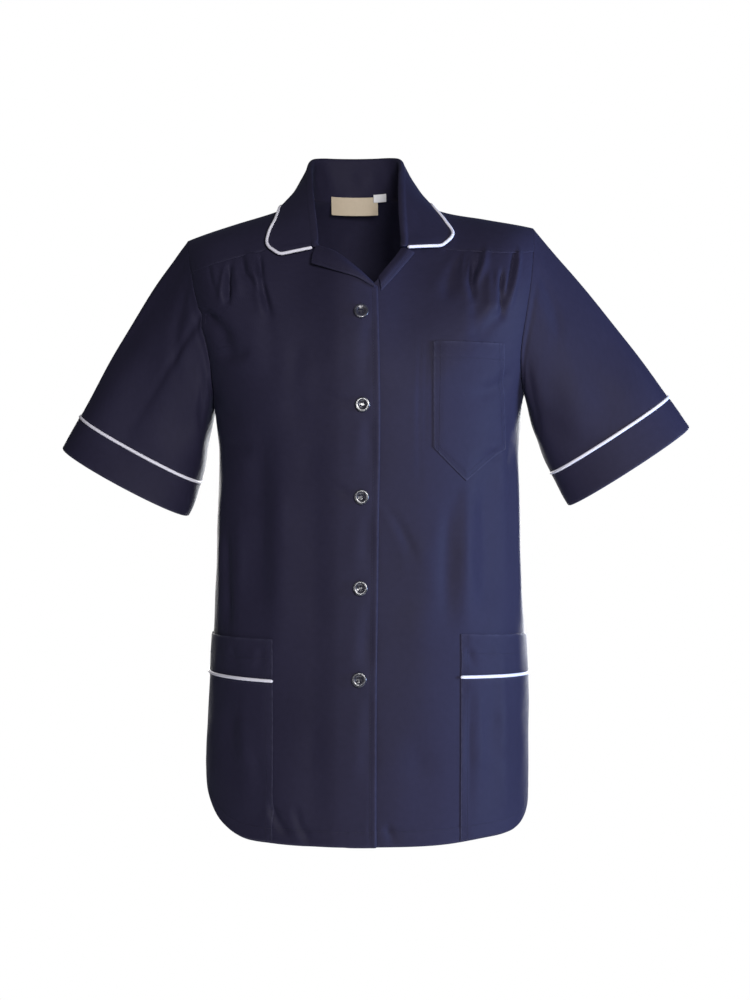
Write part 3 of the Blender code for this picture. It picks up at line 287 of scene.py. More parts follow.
# Creases of the worn cloth: from one place to another (across, height, across, height), half width,
# how far out (or in, below 0), and how far the line bows.
CREASES = {
    FRONT: (
        (26, -311, 68, -388, 3.6, -0.7, -4), (36, -324, 60, -396, 4.2, -0.35, -3),
        (-137.5, -64, -137.5, -106, 2.8, -4.0, 1), (-106, -54, -91, -120, 3.2, -4.4, 2),
        (-131, -58, -124, -98, 4.0, 1.2, 1), (109, -54, 108, -96, 2.6, 0.9, 1),
        (119, -60, 120, -104, 3.0, -2.9, 1), (149, -70, 151, -122, 3.0, -2.8, 1),
        (135, -70, 136, -128, 5.0, 1.0, -1), (104, -58, 92, -106, 6.0, -1.1, 2),
        (122, -104, 126, -150, 6.0, -0.9, 2), (113, -300, 112, -444, 8.0, 1.7, 2),
        (129, -285, 131, -446, 9.0, -1.5, -2), (151, -230, 152, -450, 8.0, 1.5, 3),
        (95, -320, 97, -446, 8.0, -1.1, 3), (70, -300, 74, -560, 16.0, 0.9, 5),
        (-139, -345, -137, -452, 4.2, -1.7, 1), (-127, -330, -128, -450, 6.5, 0.9, -2),
        (-101, -235, -96, -450, 12.0, -1.5, 4), (-80, -250, -86, -520, 11.0, 1.0, -4),
        (-48, -200, -40, -480, 15.0, -0.9, 5), (-89, -622, -66, -656, 4.2, -1.9, 3),
        (-63, -624, -44, -662, 4.2, -1.7, 3), (32, -640, 42, -662, 5.0, -0.8, 1),
        (14, -124, 13, -198, 7.0, -0.8, 1), (14, -226, 13, -296, 7.0, -0.8, -1),
        (14, -322, 14, -394, 7.0, -0.7, 1), (14, -418, 13, -490, 7.0, -1.0, 1),
        (14, -514, 13, -600, 7.0, -0.8, -1), (-4, -306, -34, -296, 4.0, -0.6, 2),
        (-4, -210, -33, -203, 4.0, -0.6, -2), (-4, -404, -31, -411, 4.0, -0.5, 2),
        (-172, -112, -132, -160, 7.5, -3.6, -7), (-150, -158, -112, -156, 6.0, -1.6, 3),
        (-160, -192, -118, -232, 8.5, -1.3, 5), (158, -112, 126, -152, 7.0, -1.3, 5),
        (161, -176, 112, -206, 8.0, -1.2, -5), (-62, -150, -58, -250, 11.0, -1.0, 4),
        (-98, -112, -90, -196, 10.0, -0.9, -4), (66, -149, 65, -292, 2.4, -0.45, 1),
        (72, -150, 71, -270, 2.4, -0.35, 1), (-150, -252, -108, -264, 6.5, -0.9, -3),
        (151, -262, 116, -276, 6.5, -0.8, 3), (116, -512, 117, -640, 3.8, -0.8, 1),
        (124, -508, 126, -610, 5.0, 0.6, -1), (149, -470, 151, -645, 6.5, 1.5, 1),
        (-130, -528, -122, -606, 11.0, -1.2, 5), (-106, -566, -98, -640, 9.0, -1.0, -4),
        (-117, -512, -112, -596, 8.0, 0.8, 3), (-42, -540, -36, -650, 14.0, -0.8, 5),
        (60, -548, 66, -655, 15.0, -0.8, -5), (114, -463, 121, -486, 4.5, -1.0, 1),
        (142, -462, 140, -488, 5.0, 0.7, -1), (-130, -462, -124, -490, 5.0, -0.9, 2),
        (-98, -464, -103, -492, 5.0, -0.6, -2),
    ),
    BACK: (
        (-100, -84, -70, -196, 9.0, -1.5, 6), (102, -80, 74, -190, 9.0, -1.5, -6),
        (-158, -140, -106, -190, 8.0, -2.0, -5), (156, -136, 108, -196, 8.0, -1.9, 5),
        (-162, -190, -124, -236, 7.5, -1.4, 4), (158, -186, 120, -240, 7.5, -1.4, -4),
        (-144, -256, -76, -272, 7.0, -1.3, -4), (-118, -288, -58, -304, 6.5, -1.0, 4),
        (142, -262, 82, -276, 7.0, -1.3, 4), (116, -292, 66, -312, 6.5, -1.0, -4),
        (-30, -262, 26, -270, 6.0, -0.8, 2), (-52, -326, -47, -566, 10.0, -1.6, 6),
        (18, -338, 25, -606, 12.0, 1.2, -6), (70, -330, 77, -584, 10.0, -1.5, -6),
        (-100, -356, -105, -606, 9.0, 1.3, 5), (118, -350, 123, -600, 9.0, 1.3, -5),
        (-128, -400, -132, -560, 7.0, -1.2, 3), (-72, -628, -52, -662, 4.6, -1.5, 3),
        (68, -630, 50, -662, 4.6, -1.5, -3), (8, -636, 3, -664, 5.0, -1.0, 1),
        (-22, -16, -27, -64, 6.0, -0.8, 2), (24, -16, 30, -70, 6.0, -0.8, -2),
    ),
}

# Folds of the sleeves: place round (0 at the shoulder, 0.25 in front, 0.5 under the arm) and share of
# the way down, the same at the other end, half width, how far out, and bow.
SLEEVE_GIRTH = 330.0
SLEEVE_LENGTH = 190.0
SLEEVE_FOLDS = {
    RIGHT: (
        (0.13, 0.03, 0.24, 0.30, 8.0, -1.9, -6), (0.30, 0.08, 0.42, 0.36, 9.0, -1.6, 7),
        (0.44, 0.12, 0.30, 0.66, 11.0, -1.7, -8), (0.09, 0.26, 0.11, 0.92, 14.0, 1.5, 5),
        (0.20, 0.34, 0.23, 0.90, 13.0, -1.7, -5), (0.62, 0.08, 0.72, 0.62, 10.0, -1.9, 6),
        (0.83, 0.18, 0.86, 0.86, 14.0, 1.5, -5), (0.76, 0.24, 0.79, 0.76, 11.0, -1.6, 4),
        (0.92, 0.10, 0.96, 0.60, 10.0, -1.0, 3),
    ),
    LEFT: (
        (0.12, 0.04, 0.21, 0.26, 8.0, -1.3, -5), (0.32, 0.06, 0.43, 0.40, 9.0, -1.7, 6),
        (0.45, 0.16, 0.33, 0.72, 11.0, -1.8, -7), (0.07, 0.22, 0.09, 0.88, 13.0, 1.3, -4),
        (0.18, 0.30, 0.20, 0.84, 13.0, -1.4, 5), (0.63, 0.10, 0.73, 0.66, 10.0, -1.8, -6),
        (0.82, 0.16, 0.85, 0.90, 14.0, 1.5, 5), (0.75, 0.26, 0.78, 0.74, 11.0, -1.5, -4),
        (0.93, 0.12, 0.97, 0.64, 10.0, -1.0, -3),
    ),
}

# The cord's rounded ends: width, and how far out, in shares of its radius.
CORD_END = ((0.86, 0.35), (0.5, 0.8), (0.04, 1.0))

# How far wear shows on each part's edges, and on the collar's fold.
FRONT_WEAR, YOKE_WEAR, SLEEVE_WEAR, COLLAR_WEAR, LAPEL_WEAR = 0.4, 0.3, 0.5, 0.6, 0.4
FOLD_WEAR = 0.12
LABEL_WEAR_REACH = 1.2

# How rows of stitches and seams press the cloth: width and depth of their dips, and then reach, size
# and pitch of the ripples beside them.
YOKE_DIP = (1.5, 0.2)
COLLAR_DIP = (1.4, 0.25)
LAPEL_DIP = (1.3, 0.22)
PATCH_DIP = (1.4, 0.22)
PATCH_HEM_DIP = (1.4, 0.2)
SIDE_DIP = (2.4, 0.35)
UNDERARM_DIP = (2.0, 0.4)
SIDE_RIPPLES = (5.0, 0.22, 15.0)
FRONT_TOP_RIPPLES = (9.0, 0.3, 13.0)
BACK_TOP_RIPPLES = (8.0, 0.25, 14.0)
HEM_RIPPLES = (6.0, 0.16, 9.0)
YOKE_RIPPLES = (6.0, 0.14, 12.0)
PATCH_RIPPLES = (6.0, 0.12, 8.0)

# Stitching: how far in from an edge each row lies.
HEM_STITCH = 15.0
EDGE_STITCH = 5.5
EDGE_STITCH_RUN = (0.02, 0.8)
YOKE_STITCH = 2.2
YOKE_LAP = 0.9
COLLAR_STITCH = 2.0
LAPEL_STITCH = 4.0
CUFF_STITCH = 1.6
POCKET_STITCHES = (1.8, 7.6)
PIPING_STITCH = 2.0
CHEST_HEM = 17.0
BAND_HEM = 20.0

# A stitch: pitch, the gap after it, radius, and its rings by place along it, width and height over
# the cloth, in shares of its length and radius.
STITCH_PITCH = 3.1
STITCH_GAP = 0.75
THREAD_RADIUS = 0.24
STITCH_SIDES = 6
STITCH_WEAVE = 0.00003
STITCH_RINGS = ((-0.5, 0.35, -0.5), (-0.34, 0.95, 0.15), (0.34, 0.95, 0.15), (0.5, 0.35, -0.5))

# The thread across the buttons' holes, and the worked buttonhole under each: pitch, gap and radius.
BUTTON_THREAD = (4.4, -0.2, 0.23)
BUTTON_THREADS = (-0.45, 0.0, 0.45)
BUTTON_THREAD_END = 2.2
BUTTON_THREAD_HEIGHT = BUTTON_THICK * 0.68
BUTTONHOLE_THREAD = (0.55, 0.1, 0.3)
BUTTONHOLE_SIDES = (-0.55, 0.55)
BUTTONHOLE_LENGTH = 18.5
BUTTONHOLE_POINTS = 30

# Seam allowances: how deep they lie, how far the armhole's reach into the sleeve, with what is added
# near the underarm, and how far the side's lie from the seam. SIDE_RADIUS turns that into an angle.
ALLOWANCE_DEPTH = 1.45
ARMHOLE_REACH = (-7.0, -4.5, -2.0, -0.5, 0.7)
UNDERARM_REACH = (0.0, 0.0, 0.0, 2.0, 5.2)
SIDE_REACH = ((FRONT, 7.0), (FRONT, 3.5), (FRONT, 0.6), (BACK, 0.6), (BACK, 3.5), (BACK, 7.0))
SIDE_RADIUS = 150.0

# Radius of the collar's fold and its gap at the neck seam, fullness of the lapels and a place behind
# them, how far the pockets' edges are pressed down and how far in, and the height at which the hip
# pockets' width is taken for their hem.
SOFT_FOLD = 3.4
SOFT_NECK_GAP = 0.35
LAPEL_BULGE = 2.0
CHEST_MIDDLE = np.array([5.0, 0.0, -80.0])
PATCH_PRESS = 0.95
PATCH_REACH = 14.0
POCKET_LOW = -640.0

# The studio: floor height and rings, its own glow and the surround's light, then lights and camera,
# whose places are in metres.
FLOOR_HEIGHT = -1180.0
FLOOR_RINGS = (260.0, 520.0, 760.0, 900.0)
FLOOR_GLOW = 0.5
SURROUND = 0.06
SURROUND_COLOUR = (1.0, 0.95, 0.94, 1.0)
WHITE = (1.0, 1.0, 1.0, 1.0)
Light = namedtuple("Light", "name place aim size power colour")
LIGHTS = (
    Light("key", (0.48, -1.8, 0.12), (0.0, 0.0, -0.28), 0.45, 28.0, (1.0, 0.985, 1.0)),
    Light("cool_side", (2.0, -0.35, -0.35), (0.1, 0.0, -0.4), 0.6, 62.0, (0.45, 0.60, 1.0)),
    Light("back_right", (0.75, 2.5, -0.25), (0.0, 0.1, -0.3), 0.8, 66.0, (0.95, 0.97, 1.0)),
    Light("back_left", (-0.9, 2.5, -0.1), (0.0, 0.1, -0.3), 0.8, 40.0, (1.0, 0.98, 0.96)),
    Light("fill", (-1.6, -2.0, -0.1), (-0.05, 0.0, -0.3), 1.4, 1.2, (1.0, 0.95, 0.95)),
    Light("catch_light", (-0.115, -2.0, -0.115), (0.007, -0.137, -0.2115), 0.16, 4.0, (1.0, 1.0, 1.0)),
)
CAMERA_TURN = 3.3
CAMERA_SHIFT = 0.0119
CAMERA_HEIGHT = -0.311
CAMERA_DISTANCE = 2.5
CAMERA_LENS = 83.3
CAMERA_SENSOR = 36


def through(rows, place):
    """The smooth curve through rows, read at a place in their first column."""
    rows = np.asarray(rows, float)
    start, values = rows[:, 0], rows[:, 1:]
    step = np.diff(start)
    slope = np.diff(values, axis=0) / step[:, None]
    lean = np.vstack([slope[:1], slope[:1], slope[1:]])[: len(rows)]
    lean[-1] = slope[-1]
    before, after = step[:-1, None], step[1:, None]
    lean[1:-1] = (slope[:-1] * after + slope[1:] * before) / (before + after)
    place = np.clip(np.asarray(place, float), start[0], start[-1])
    row = np.clip(np.searchsorted(start, place, side="right") - 1, 0, len(step) - 1)
    width = step[row]
    part = ((place - start[row]) / width)[..., None]
    width = width[..., None]
    return (
        values[row] * (1 + 2 * part) * (1 - part) ** 2
        + values[row + 1] * part**2 * (3 - 2 * part)
        + lean[row] * width * part * (1 - part) ** 2
        - lean[row + 1] * width * part**2 * (1 - part)
    )


def ease(low, high, value):
    """0 below low, 1 above high, and smooth between."""
    part = np.clip((np.asarray(value, float) - low) / (high - low), 0, 1)
    return part * part * (3 - 2 * part)


def unit(vectors):
    """Vectors brought to a length of 1."""
    return vectors / np.maximum(np.linalg.norm(vectors, axis=-1, keepdims=True), 1e-9)


def section(height):
    """The level section at a height."""
    return Section(*np.moveaxis(through(SECTIONS, height), -1, 0))


def shoulder(across):
    """Height of the shoulder line at a sideways place."""
    return through(SHOULDER, across)[..., 0]


def across_at(angle, height):
    """Sideways place of an angle from the front or back centre, minus towards the right."""
    at = section(height)
    width = np.where(angle < 0, at.right, at.left)
    return at.centre + width * np.sign(angle) * np.abs(np.sin(angle)) ** (2 / at.square)


def angle_at(across, height):
    """The angle of a sideways place at a height."""
    at = section(height)
    width = np.where(across < at.centre, at.right, at.left)
    share = np.clip(np.abs(across - at.centre) / width, 0, 1)
    return np.sign(across - at.centre) * np.arcsin(share ** (at.square / 2))


def form_terms(facing, across, height):
    """What shapes the depth: nearness to the centre, drop below the shoulder, and full depth."""
    at = section(height)
    width = np.where(across < at.centre, at.right, at.left)
    inward = 1 - np.abs((across - at.centre) / width) ** at.square
    fall = Fall(*np.moveaxis(through(FALLS, across), -1, 0))
    reach = fall.front if facing == FRONT else fall.back
    bend = fall.bend_front if facing == FRONT else fall.bend_back
    below = np.minimum((shoulder(across) - height) / reach, 1)
    dropped = 1 - (1 - below) ** bend
    depth = at.front if facing == FRONT else at.back
    return inward, dropped, depth, at.square, bend


def outward(facing, across, height):
    """Unit normals of the form, level and smooth across the side and shoulder seams too."""
    step = 0.4
    inward, dropped, depth, square, bend = form_terms(facing, across, height)
    inward, dropped = np.maximum(inward, 0), np.maximum(dropped, 0)
    left, right = (form_terms(facing, across + side * step, height) for side in (1, -1))
    above, below = (form_terms(facing, across, height + side * step) for side in (1, -1))
    slopes = []
    for high, low in ((left, right), (above, below)):
        inward_slope = (high[0] - low[0]) / (2 * step)
        dropped_slope = (high[1] - low[1]) / (2 * step)
        depth_slope = (high[2] - low[2]) / (2 * step)
        slopes.append(
            depth_slope * inward * dropped
            + depth * (inward_slope * dropped / square + inward * dropped_slope / bend)
        )
    level = inward ** (1 - 1 / square) * dropped ** (1 - 1 / bend)
    return unit(np.stack([-slopes[0], facing * level, -slopes[1]], axis=-1))


def fold_lift(facing, angle, height):
    """How far the soft folds stand out from the form or in."""
    lift = np.zeros(np.broadcast(angle, height).shape)
    for turned, top, bottom, width, depth in FOLDS[facing]:
        away = (angle - math.radians(turned)) * section(height).right / width
        inside = ease(bottom, bottom + FOLD_FADE, height) * (1 - ease(top - FOLD_FADE, top, height))
        lift = lift + depth * np.exp(-(away**2)) * inside
    return lift


def height_below(angle, drop):
    """The height that lies a drop below the shoulder line at an angle."""
    height = np.zeros(np.broadcast(angle, drop).shape) - 20.0
    for _ in range(SOLVE_STEPS):
        height = shoulder(across_at(angle, height)) - drop
    return height


def height_at_depth(facing, across, depth):
    """The height at which the form comes a depth forward or back from the shoulder line."""
    height = shoulder(across) - 10.0
    for _ in range(2 * SOLVE_STEPS):
        inward, _, full, square, bend = form_terms(facing, across, height)
        share = np.clip(depth / (full * np.maximum(inward, 1e-6) ** (1 / square)), 0, 1)
        fall = through(FALLS, across)[..., 0 if facing == FRONT else 1]
        height = shoulder(across) - fall * (1 - (1 - share**bend) ** (1 / bend))
    return height


def seam_height(facing, angle):
    """Height of a panel's top edge at the shoulder seam, half a seam from the other's."""
    across = across_at(angle, height_below(angle, 0.0))
    return height_at_depth(facing, across, HALF_SEAM)


def armhole(side, facing, way):
    """Angle and height along an armhole, from the underarm (0) to the shoulder tip (1)."""
    rows = through(ARMHOLE, way)
    turned = rows[..., 1] if facing == FRONT else rows[..., 2]
    angle = side * np.radians(turned + TIP_OUT[side] * rows[..., 0] ** 3)
    tip = height_below(side * math.radians(TIP_ANGLE + TIP_OUT[side]), 0.0)
    return angle, UNDERARM[side] + (tip - UNDERARM[side]) * rows[..., 0]


def seam_angle(facing, height):
    """Angle at which the form comes within half a seam of the side."""
    at = section(height)
    depth = at.front if facing == FRONT else at.back
    return math.pi / 2 - (HALF_SEAM / depth) ** (at.square / 2)


def neckline(side, drop):
    """Angle and height of the front neckline at a drop below the shoulder line."""
    out = through(NECKLINE, drop)[..., 0]
    height = -10.0 * np.ones_like(out)
    for _ in range(SOLVE_STEPS):
        across = section(height).centre + side * out
        height = shoulder(across) - drop
    return angle_at(across, height), height


def back_neck(round_share):
    """Angle and height of the back neckline, -1 at the right shoulder seam to 1 at the left."""
    turn = np.asarray(round_share, float) * math.pi / 2
    behind = np.maximum(BACK_NECK_DEPTH * np.cos(turn), HALF_SEAM)
    height = np.full(turn.shape, 15.0)
    for _ in range(SOLVE_STEPS):
        across = section(height).centre + NECK_HALF_WIDTH * np.sin(turn)
        height = height_at_depth(BACK, across, behind)
    return angle_at(across, height), height


def yoke_seam(side, angle):
    """Height of the yoke seam at an angle."""
    inner, outer = YOKE_DROP[side]
    tip = abs(math.radians(TIP_ANGLE))
    share = np.clip(np.abs(angle) / tip, 0, 1)
    return height_below(angle, inner + (outer - inner) * share**2)


def armhole_way_at_yoke(side):
    """How far up the armhole the yoke seam meets it."""
    ways = np.linspace(0.5, 1.0, 501)
    angle, height = armhole(side, FRONT, ways)
    return float(np.interp(0, height - yoke_seam(side, angle), ways))


def neck_drop_at_yoke(side):
    """How far the neckline has dropped where the yoke seam meets it."""
    drops = np.linspace(30, 60, 301)
    angle, height = neckline(side, drops)
    return float(np.interp(0, yoke_seam(side, angle) - height, drops))


def roll_line(side, way):
    """Sideways place and height along a front's roll line."""
    rows = through(ROLLS[side], way)
    return rows[..., 0], rows[..., 1]


def front_edge(side, height):
    """Sideways place of a front's buttoning edge, past the centre by the overlap."""
    return section(height).centre - side * OVERLAP


def hem_height(side, angle):
    """Height of the hem at an angle."""
    rows = through(HEM, np.degrees(np.abs(angle)))
    return rows[..., 0] if side == RIGHT else rows[..., 1]


def tuck_lift(side, place, below):
    """The tucks' ridges and the hollows beside them, at a distance below the yoke seam."""
    lift = np.zeros(np.broadcast(place, below).shape)
    for middle, width, depth, length in TUCKS[side]:
        away = side * (place - middle) * FRONT_SPAN / width
        shape = np.exp(-((away - 0.6) ** 2) / 0.45) - 0.75 * np.exp(-((away + 0.35) ** 2) / 0.2)
        fade = (0.55 + 0.45 * ease(0, 14, below)) * (1 - ease(0.25 * length, length, below))
        lift = lift + depth * shape * fade
    return lift


def crease_line(over, up, to_over, to_up, bow, fade):
    """Distance along a bowed crease, share of its length, distance beside it, and its fading ends."""
    length = math.hypot(to_over, to_up)
    over_part, up_part = to_over / length, to_up / length
    along = over * over_part + up * up_part
    share = along / length
    aside = over * up_part - up * over_part - bow * 4 * share * (1 - share)
    return along, share, aside, ease(-fade, 0.3, share) * (1 - ease(0.6, 1 + fade, share))


def crease_shape(aside, width):
    """A crease across its line: a trough or ridge, and the slight swell the other way beside it."""
    return np.exp(-((aside / width) ** 2)) - 0.35 * np.exp(-(((aside - 1.9 * width) / (1.3 * width)) ** 2))


def crease_lift(facing, angle, height):
    """How far the creases of the worn cloth stand out or in, uneven along their length."""
    across = across_at(angle, height)
    lift = np.zeros(across.shape)
    for x, z, to_x, to_z, width, depth, bow in CREASES[facing]:
        along, share, aside, ends = crease_line(across - x, height - z, to_x - x, to_z - z, bow, 0.12)
        uneven = 1 + 0.25 * np.sin(along / 11.0 + z) + 0.12 * np.sin(along / 4.7)
        shape = crease_shape(aside, width * (0.75 + 0.5 * np.clip(share, 0, 1)))
        lift = lift + CREASE_DEPTH * depth * ends * uneven * shape
    return lift * (1 - ease(*CREASE_END, np.abs(angle)))


def waver(angle, height):
    """The slight unevenness that no worn cloth is without."""
    across = angle * 160.0
    return (
        0.34 * np.sin(across / 31.0 + 1.3 * np.sin(height / 57.0))
        + 0.26 * np.sin(height / 41.0 + 1.1 * np.sin(across / 43.0) + 0.8)
        + 0.16 * np.sin((across + height) / 17.0 + 2.0 * np.sin(height / 71.0))
        + 0.12 * np.sin((across - 1.4 * height) / 13.0 + 1.5 * np.sin(across / 37.0))
    )


def lie(facing, angle, height, lift=0.0):
    """Points on the worn form at an angle and height, lifted off it by a distance."""
    angle, height = np.broadcast_arrays(np.asarray(angle, float), np.asarray(height, float))
    across = across_at(angle, height)
    inward, dropped, depth, square, bend = form_terms(facing, across, height)
    depth = depth * np.maximum(inward, 0) ** (1 / square) * np.maximum(dropped, 0) ** (1 / bend)
    base = np.stack([across, facing * depth, height], axis=-1)
    clear = ease(0, 9, shoulder(across) - height)
    drape = fold_lift(facing, angle, height) + crease_lift(facing, angle, height)
    lift = np.asarray(lift, float) + drape + waver(angle, height) * clear
    return base + outward(facing, across, height) * lift[..., None]


def surface(facing, angle, height, lift=0.0):
    """Points lifted off the worn form, with the form's normals there."""
    return lie(facing, angle, height, lift), outward(facing, across_at(angle, height), height)


def close_ends(steps, strength):
    """Shares from 0 to 1 that lie closer together towards both ends."""
    share = np.linspace(0, 1, steps + 1)
    return share - strength * np.sin(2 * math.pi * share) / (2 * math.pi)


def front_surface(side, places, low_steps, step_part):
    """Angle, height and lift of every point of a front's outer face, hem first."""
    rise = np.arange((EDGE_ROWS + ROLL_ROWS + 1) * step_part + 1) / step_part
    level = UNDERARM[side]
    edge_height = level + (BREAK_HEIGHT[side] - level) * np.clip(rise / EDGE_ROWS, 0, 1)
    edge_angle = angle_at(front_edge(side, edge_height), edge_height)
    roll_x, roll_z = roll_line(side, np.clip((rise - EDGE_ROWS) / ROLL_ROWS, 0, 1))
    on_roll = rise > EDGE_ROWS
    inner_angle = np.where(on_roll, angle_at(roll_x, roll_z), edge_angle)
    inner_height = np.where(on_roll, roll_z, edge_height)
    last = np.clip(rise - EDGE_ROWS - ROLL_ROWS, 0, 1)
    neck_angle, neck_height = neckline(side, neck_drop_at_yoke(side))
    inner_angle = inner_angle + (neck_angle - inner_angle) * last
    inner_height = inner_height + (neck_height - inner_height) * last
    share = (rise / rise[-1])[:, None]
    outer_angle, outer_height = armhole(side, FRONT, share[:, 0] * armhole_way_at_yoke(side))
    outer_angle[0] = side * seam_angle(FRONT, level)
    angle = inner_angle[:, None] * (1 - places) + outer_angle[:, None] * places
    height = inner_height[:, None] * (1 - places) + outer_height[:, None] * places
    top = yoke_seam(side, angle[-1]) - SEAM
    height = height + share * (top - height[-1])
    lower = close_ends(low_steps, LOW_BUNCH)[:-1, None]
    hem = hem_height(side, angle[0])
    low_height = hem + (height[0] - hem) * lower
    edge_low = angle_at(front_edge(side, low_height[:, :1]), low_height[:, :1])
    side_low = side * seam_angle(FRONT, low_height[:, -1:])
    angle = np.vstack([edge_low * (1 - places) + side_low * places, angle])
    height = np.vstack([low_height, height])
    lift = tuck_lift(side, places, np.maximum(height[-1] - height, 0))
    if side == RIGHT:
        past = across_at(angle, height) - section(height).centre
        lift = lift + LAP_LIFT * ease(*LAP_RAMP, past)
    return angle, height, lift


def back_surface(shares, high_steps, low_steps):
    """Angle and height of every point of the back's outer face, hem first."""
    sides = np.where(shares < 0, RIGHT, LEFT)
    place = np.abs(shares)
    ways = np.sin(np.linspace(0, math.pi / 2, high_steps + 1))
    angle = np.zeros((len(ways), len(shares)))
    height = np.zeros_like(angle)
    neck_angle, neck_height = back_neck(np.clip(shares / NECK_SHARE, -1, 1))
    edges = {side: armhole(side, BACK, ways) for side in (RIGHT, LEFT)}
    corners = {side: back_neck(float(side))[0] for side in (RIGHT, LEFT)}
    for side in (RIGHT, LEFT):
        edges[side][0][0] = side * seam_angle(BACK, UNDERARM[side])
    for column, (side, out) in enumerate(zip(sides, place)):
        edge_angle, edge_height = edges[side]
        if out <= NECK_SHARE:
            top_angle, top_height = neck_angle[column], neck_height[column]
        else:
            corner = corners[side]
            top_angle = corner + (edge_angle[-1] - corner) * (out - NECK_SHARE) / (1 - NECK_SHARE)
            top_height = seam_height(BACK, top_angle)
        base_angle = edge_angle[0] * out
        base_height = edge_height[0]
        drift = (edge_angle - edge_angle[0]) * out
        angle[:, column] = base_angle + drift + (top_angle - (base_angle + drift[-1])) * ways
        height[:, column] = base_height + (top_height - base_height) * ways
        bent = edge_height - base_height - (edge_height[-1] - base_height) * ways
        height[:, column] += ease(0.55, 1.0, out) * bent
    lower = close_ends(low_steps, LOW_BUNCH)[:-1, None]
    hem = np.where(sides == RIGHT, hem_height(RIGHT, angle[0]), hem_height(LEFT, angle[0]))
    low_height = hem + (height[0] - hem) * lower
    low_angle = shares * seam_angle(BACK, low_height)
    return np.vstack([low_angle, angle]), np.vstack([low_height, height])


def yoke_surface(side, share, steps):
    """Angle and height of every point of a yoke's outer face, yoke seam first."""
    rise = np.sin(np.linspace(0, math.pi / 2, steps + 1))
    low_way = armhole_way_at_yoke(side)
    inner_angle, inner_height = neckline(side, neck_drop_at_yoke(side) * (1 - rise))
    outer_angle, outer_height = armhole(side, FRONT, low_way + (1 - low_way) * rise)
    angle = inner_angle[:, None] * (1 - share) + outer_angle[:, None] * share
    low = yoke_seam(side, angle[0])
    height = low + (seam_height(FRONT, angle[-1]) - low) * rise[:, None]
    edge = outer_height - (outer_height[0] + (outer_height[-1] - outer_height[0]) * rise)
    height = height + edge[:, None] * ease(0.5, 1.0, share)
    neck = inner_height - (inner_height[0] + (inner_height[-1] - inner_height[0]) * rise)
    return angle, height + neck[:, None] * (1 - ease(0.0, 0.5, share))


def smooth_round(values, reach):
    """Values round a closed ring, each averaged with its neighbours."""
    total = values * 0.0
    weight = 0.0
    for step in range(-reach, reach + 1):
        part = 1 - abs(step) / (reach + 1)
        total = total + np.roll(values, step, axis=0) * part
        weight += part
    return total / weight


def armhole_ring(side, rounds):
    """Points, outward normals and across-the-seam directions round an armhole."""
    fronts = rounds < 0.5
    ways = np.where(fronts, 1 - 2 * rounds, 2 * rounds - 1)
    places = np.zeros((len(rounds), 3))
    normals = np.zeros((len(rounds), 3))
    for facing, chosen in ((FRONT, fronts), (BACK, ~fronts)):
        angle, height = armhole(side, facing, ways[chosen])
        places[chosen], normals[chosen] = surface(facing, angle, height)
    run = unit(np.roll(places, -1, axis=0) - np.roll(places, 1, axis=0))
    run = unit(smooth_round(run, 4))
    normals = unit(smooth_round(normals, 4))
    normals = unit(normals - (normals * run).sum(1, keepdims=True) * run)
    return places, normals, unit(np.cross(run, normals)) * -side


def sleeve_frame(side):
    """Hem centre, hem direction to its outer end, and the way down the sleeve."""
    size = SLEEVES[side]
    centre = np.array([size.centre_x, 0.0, size.centre_z])
    out = np.array([size.outer_x, 0.0, size.outer_z])
    down = np.array([side * size.outer_z, 0.0, -side * size.outer_x])
    return centre, out, down


def sleeve_lines(side, rounds):
    """Start, end and end directions of the lines that run down a sleeve."""
    turn = 2 * math.pi * rounds[:, None]
    places, normals, across = armhole_ring(side, rounds)
    size = SLEEVES[side]
    centre, out, down = sleeve_frame(side)
    end = centre + size.half_width * np.cos(turn) * out
    end = end - size.half_depth * np.sin(turn) * np.array([0.0, 1.0, 0.0])
    end = end + size.tilt * np.sin(turn) * down
    low = (1 - np.cos(turn)) / 2
    inner_way = np.array([side * math.sin(ARMPIT_LEAN), 0.0, -math.cos(ARMPIT_LEAN)])
    begin = across * SHOULDER_ROUND[side] * (1 - low) ** 4
    begin = begin + across * UNDERARM_BULGE * low * (1 - low) * 4
    begin = begin + down * (1 - low) + inner_way * low + normals * 0.5 * low * (1 - low)
    begin = unit(begin)
    start = places + SEAM * unit(across * (1 - low**2) + normals * low**2)
    length = np.linalg.norm(end - start, axis=1, keepdims=True)
    return start, begin, end, down, length, across


def sleeve_points(lines, along):
    """A sleeve's outer face, rows of points at shares of the way down each of its lines."""
    start, begin, end, down, length, _ = lines
    part = along[..., None]
    return (
        start * (1 + 2 * part) * (1 - part) ** 2
        + end * part**2 * (3 - 2 * part)
        + begin * length * part * (1 - part) ** 2
        - down * length * part**2 * (1 - part)
    )


